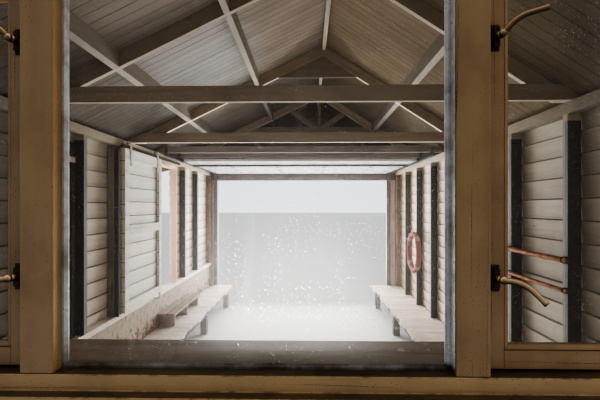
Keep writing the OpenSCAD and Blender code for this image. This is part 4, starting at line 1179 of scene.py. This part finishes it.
def makeLifeRing():
    look = ringLook
    low, high = boxOf("life_ring")
    centre, thick = (low + high) / 2, (high.x - low.x) / 2
    radius = (high.z - low.z) / 2 - thick
    bm = newMesh()
    ringPart(bm, centre, radius, thick - look["ringLess"], 0, 2 * math.pi, look["steps"], True)
    finishPiece("lifeRing", bm, "life_ring", 0, smooth=True)
    bm = newMesh()
    half = look["bandLength"] / radius / 2
    for k in range(look["bands"]):
        t = math.pi / 4 + k * math.pi / 2
        ringPart(bm, centre, radius, thick - look["bandLess"], t - half, t + half, look["bandSteps"], False)
    finishPiece("ringBands", bm, None, 0, smooth=True, slot="ring", look="ring_bands")


# Two round rails, given by height and radius, on saddles, each with a clip over it
railLook = {"start": -2.070, "length": 1.730, "posts": (-2.050, -1.215, -0.380), "face": 2.066, "saddle": 0.006,
            "rails": ((1.810, 0.022), (1.580, 0.017)), "endRound": 0.002, "saddleHalf": 0.012, "saddleOver": 0.004,
            "clip": (0.003, 0.0002), "clipHalf": 0.009, "clipEdge": 0.0008}


def makeRails():
    look = railLook
    bm, clips = newMesh(), newMesh()
    turns = [math.radians(90 + 180 * k / 10) for k in range(11)]
    y0, y1, less = look["start"], look["start"] + look["length"], look["endRound"]
    outer, inner = look["clip"]
    for z, r in look["rails"]:
        x = look["face"] - look["saddle"] - r
        sweep(bm, [(x, y, z) for y in (y0, y0 + less, y1 - less, y1)], [r - less, r, r, r - less], 28)
        over = r + look["saddleOver"]
        for y in look["posts"]:
            block(clips, (x, y - look["saddleHalf"], z - over), (look["face"], y + look["saddleHalf"], z + over))
            prism(clips, arc(x, z, r + outer, turns) + arc(x, z, r + inner, turns[::-1]), "y", y - look["clipHalf"],
                  y + look["clipHalf"])
    finishPiece("hangingRails", bm, "hanging_rails", 0, smooth=True)
    finishPiece("railClips", clips, None, look["clipEdge"], slot="copper", look="black_iron")


makeLifeRing()
makeRails()

# Sliding leaf: stiles and rails with lapped boards behind them, on grooved wheels
leafLook = {"frame": 0.040, "stile": 0.105, "farStile": 0.090, "bevel": 0.003, "pitch": 0.1685, "overlap": 0.020,
            "rails": ((0.0, 0.110), (0.905, 1.015), (1.785, 1.915)), "lean": 0.010, "board": 0.01764,
            "boardIn": 0.001, "seam": 0.0005, "ironEdge": 0.001}


def makeLeaf():
    look = leafLook
    low, high = boxOf("sliding_door")
    bm = newMesh()
    mid = high.x - look["frame"]
    block(bm, (mid, low.y, low.z), (high.x, low.y + look["stile"], high.z))
    block(bm, (mid, high.y - look["farStile"], low.z), (high.x, high.y, high.z))
    y0, y1 = low.y + look["stile"] + look["seam"], high.y - look["farStile"] - look["seam"]
    for z0, z1 in look["rails"]:
        block(bm, (mid, y0, low.z + z0), (high.x - look["seam"], y1, low.z + z1))
    ledge = low.z + look["rails"][0][1]
    while ledge - look["pitch"] < high.z:
        foot = ledge - look["pitch"] - look["overlap"]
        top, bottom = min(ledge, high.z), max(foot, low.z)
        a, b = (mid - look["lean"] * (ledge - z) / (ledge - foot) for z in (top, bottom))
        thick = look["board"]
        prism(bm, [(a, top), (a - thick, top), (b - thick, bottom), (b, bottom)], "y", low.y + look["boardIn"],
              high.y - look["boardIn"])
        ledge += look["pitch"]
    finishPiece("slidingLeaf", bm, "sliding_door", look["bevel"], body=slidingBody)
    dressNode("door_hangers", look["ironEdge"], 1, slidingBody)
    dressNode("sliding_door_rail", look["ironEdge"], 1)


# Raised door: coated panels with a stiffening bar, given by its distance, width and height, and hinges and rollers
liftDoorLook = {"left": -1.920, "right": 1.870, "start": 1.400, "length": 2.500, "panels": 5, "foot": 2.955,
                "top": 2.995, "groove": 0.003, "panelEdge": 0.0025, "ironEdge": 0.0006, "sunk": 0.0005,
                "bar": (0.010, 0.090, 0.030), "barLip": 0.3, "barThick": 0.002, "rollerAt": 0.060, "roller": 0.018,
                "axle": 0.006, "rollerSpan": (0.004, 0.024, 0.040), "rollerPlate": (0.035, 0.030, 0.003),
                "plateIn": 0.025, "hinges": (-1.3, -0.45, 0.42, 1.28), "hingePlate": (0.026, 0.034, 0.0028),
                "hingePin": (0.030, 0.004, 0.005)}


# A thin plate under the raised door
def underPlate(bm, x, y, plate):
    halfX, halfY, deep = plate
    foot = liftDoorLook["foot"]
    block(bm, (x - halfX, y - halfY, foot - deep), (x + halfX, y + halfY, foot + liftDoorLook["sunk"]))


def makeLiftDoor():
    look = liftDoorLook
    panels, metal = newMesh(), newMesh()
    left, right, foot, top, groove, axle = (look[key] for key in ("left", "right", "foot", "top", "groove", "axle"))
    step = look["length"] / look["panels"]
    inside, shoulder, outside = look["rollerSpan"]
    pinHalf, pinDown, pin = look["hingePin"]
    for k in range(look["panels"]):
        y0, y1 = look["start"] + k * step, look["start"] + (k + 1) * step
        block(panels, (left, y0 + groove, foot), (right, y1 - groove, top))
        for side, x in ((-1, left), (1, right)):
            y, z = y0 + look["rollerAt"], (foot + top) / 2
            sweep(metal, [(x - side * inside, y, z), (x + side * shoulder, y, z)], [axle, axle])
            sweep(metal, [(x + side * shoulder, y, z), (x + side * outside, y, z)], [look["roller"]] * 2, 20)
            underPlate(metal, x - look["plateIn"] * side, y, look["rollerPlate"])
        for x in look["hinges"] if k else ():
            underPlate(metal, x, y0, look["hingePlate"])
            sweep(metal, [(x - pinHalf, y0, foot - pinDown), (x + pinHalf, y0, foot - pinDown)], [pin, pin], 10)
    barIn, barWidth, barHeight = look["bar"]
    a = look["start"] + step + barIn
    b, lip, thin, low = a + barWidth, barWidth * look["barLip"], foot - look["barThick"], foot - barHeight
    prism(metal, [(a, foot), (a, thin), (a + lip, thin), (a + lip, low), (b - lip, low), (b - lip, thin), (b, thin),
                  (b, foot)], "x", left, right)
    finishPiece("liftDoorPanels", panels, "overhead_door", look["panelEdge"])
    finishPiece("liftDoorIronwork", metal, None, look["ironEdge"], slot="lift_door", look="overhead_door_tracks")
    dressNode("overhead_door_tracks", look["ironEdge"], 1)


makeLeaf()
makeLiftDoor()
print("doors made")

# Soft studio light: a pale world, brighter towards the lake, and soft lamps over the water and in the room
light = {"near": (0.24, 0.225, 0.20), "far": (1.15, 1.19, 1.25), "reach": (-1.0, 0.6), "strength": 1.0,
         "exposure": 0.0, "look": "AgX - High Contrast"}
lamps = {
    "mouthLamp": {"place": (0.0, 4.7, 1.6), "aim": (0.0, -3.0, 2.6), "size": (3.8, 2.2), "power": 300, "spread": 130,
                  "colour": (1.0, 1.0, 1.0)},
    "waterLamp": {"place": (0.0, 4.2, 0.30), "aim": (-0.3, -1.5, 3.7), "size": (3.0, 0.5), "power": 18, "spread": 90,
                  "colour": (0.97, 0.99, 1.0)},
    "roomLamp": {"place": (4.3, -5.4, 2.8), "aim": (-0.3, -4.1, 2.2), "size": (1.6, 1.6), "power": 37, "spread": 180,
                 "colour": (1.0, 0.76, 0.50)},
    "paneLamp": {"place": (0.0, -2.5, 1.7), "aim": (0.0, -4.05, 2.2), "size": (0.9, 0.5), "power": 22, "spread": 75,
                 "colour": (0.95, 0.98, 1.0)},
    "doorwayLamp": {"place": (-2.9, 1.06, 1.9), "aim": (0.0, 0.9, 1.7), "size": (0.9, 1.8), "power": 15,
                    "spread": 110, "colour": (1.0, 1.0, 1.0)},
}


def makeLight():
    world = bpy.data.worlds.new("studio")
    bpy.context.scene.world = world
    world.use_nodes = True
    tree = world.node_tree
    coords, split, spread, blend = (tree.nodes.new("ShaderNode" + kind)
                                    for kind in ("TexCoord", "SeparateXYZ", "MapRange", "Mix"))
    spread.inputs["From Min"].default_value, spread.inputs["From Max"].default_value = light["reach"]
    blend.data_type = "RGBA"
    blend.inputs[6].default_value = (*light["near"], 1)
    blend.inputs[7].default_value = (*light["far"], 1)
    back = tree.nodes["Background"].inputs
    for start, end in ((coords.outputs["Generated"], split.inputs[0]), (split.outputs["Y"], spread.inputs["Value"]),
                       (spread.outputs["Result"], blend.inputs[0]), (blend.outputs[2], back["Color"])):
        tree.links.new(start, end)
    back["Strength"].default_value = light["strength"]
    bpy.context.scene.view_settings.exposure = light["exposure"]
    bpy.context.scene.view_settings.look = light["look"]
    for name, look in lamps.items():
        data = bpy.data.lights.new(name, "AREA")
        data.shape = "RECTANGLE"
        data.size, data.size_y = look["size"]
        data.energy = look["power"]
        data.color = look["colour"]
        data.spread = math.radians(look["spread"])
        lamp = bpy.data.objects.new(name, data)
        lamp.location = look["place"]
        lamp.rotation_euler = (Vector(look["aim"]) - Vector(look["place"])).to_track_quat("-Z", "Y").to_euler()
        lamp.visible_camera = False
        lamp.visible_glossy = False
        bpy.context.scene.collection.objects.link(lamp)


floorLook = {"half": 150.0, "colour": (0.60, 0.60, 0.595), "rough": 0.8}


def makeFloor():
    half = floorLook["half"]
    mesh = bpy.data.meshes.new("floor")
    mesh.from_pydata([(-half, -half, 0), (half, -half, 0), (half, half, 0), (-half, half, 0)], [], [(0, 1, 2, 3)])
    paint = Shader().finish(floorLook["colour"], floorLook["rough"])
    paint.name = "floor"
    mesh.materials.append(paint)
    floor = bpy.data.objects.new("floor", mesh)
    bpy.context.scene.collection.objects.link(floor)


makeLight()
makeFloor()
print("light and floor made")
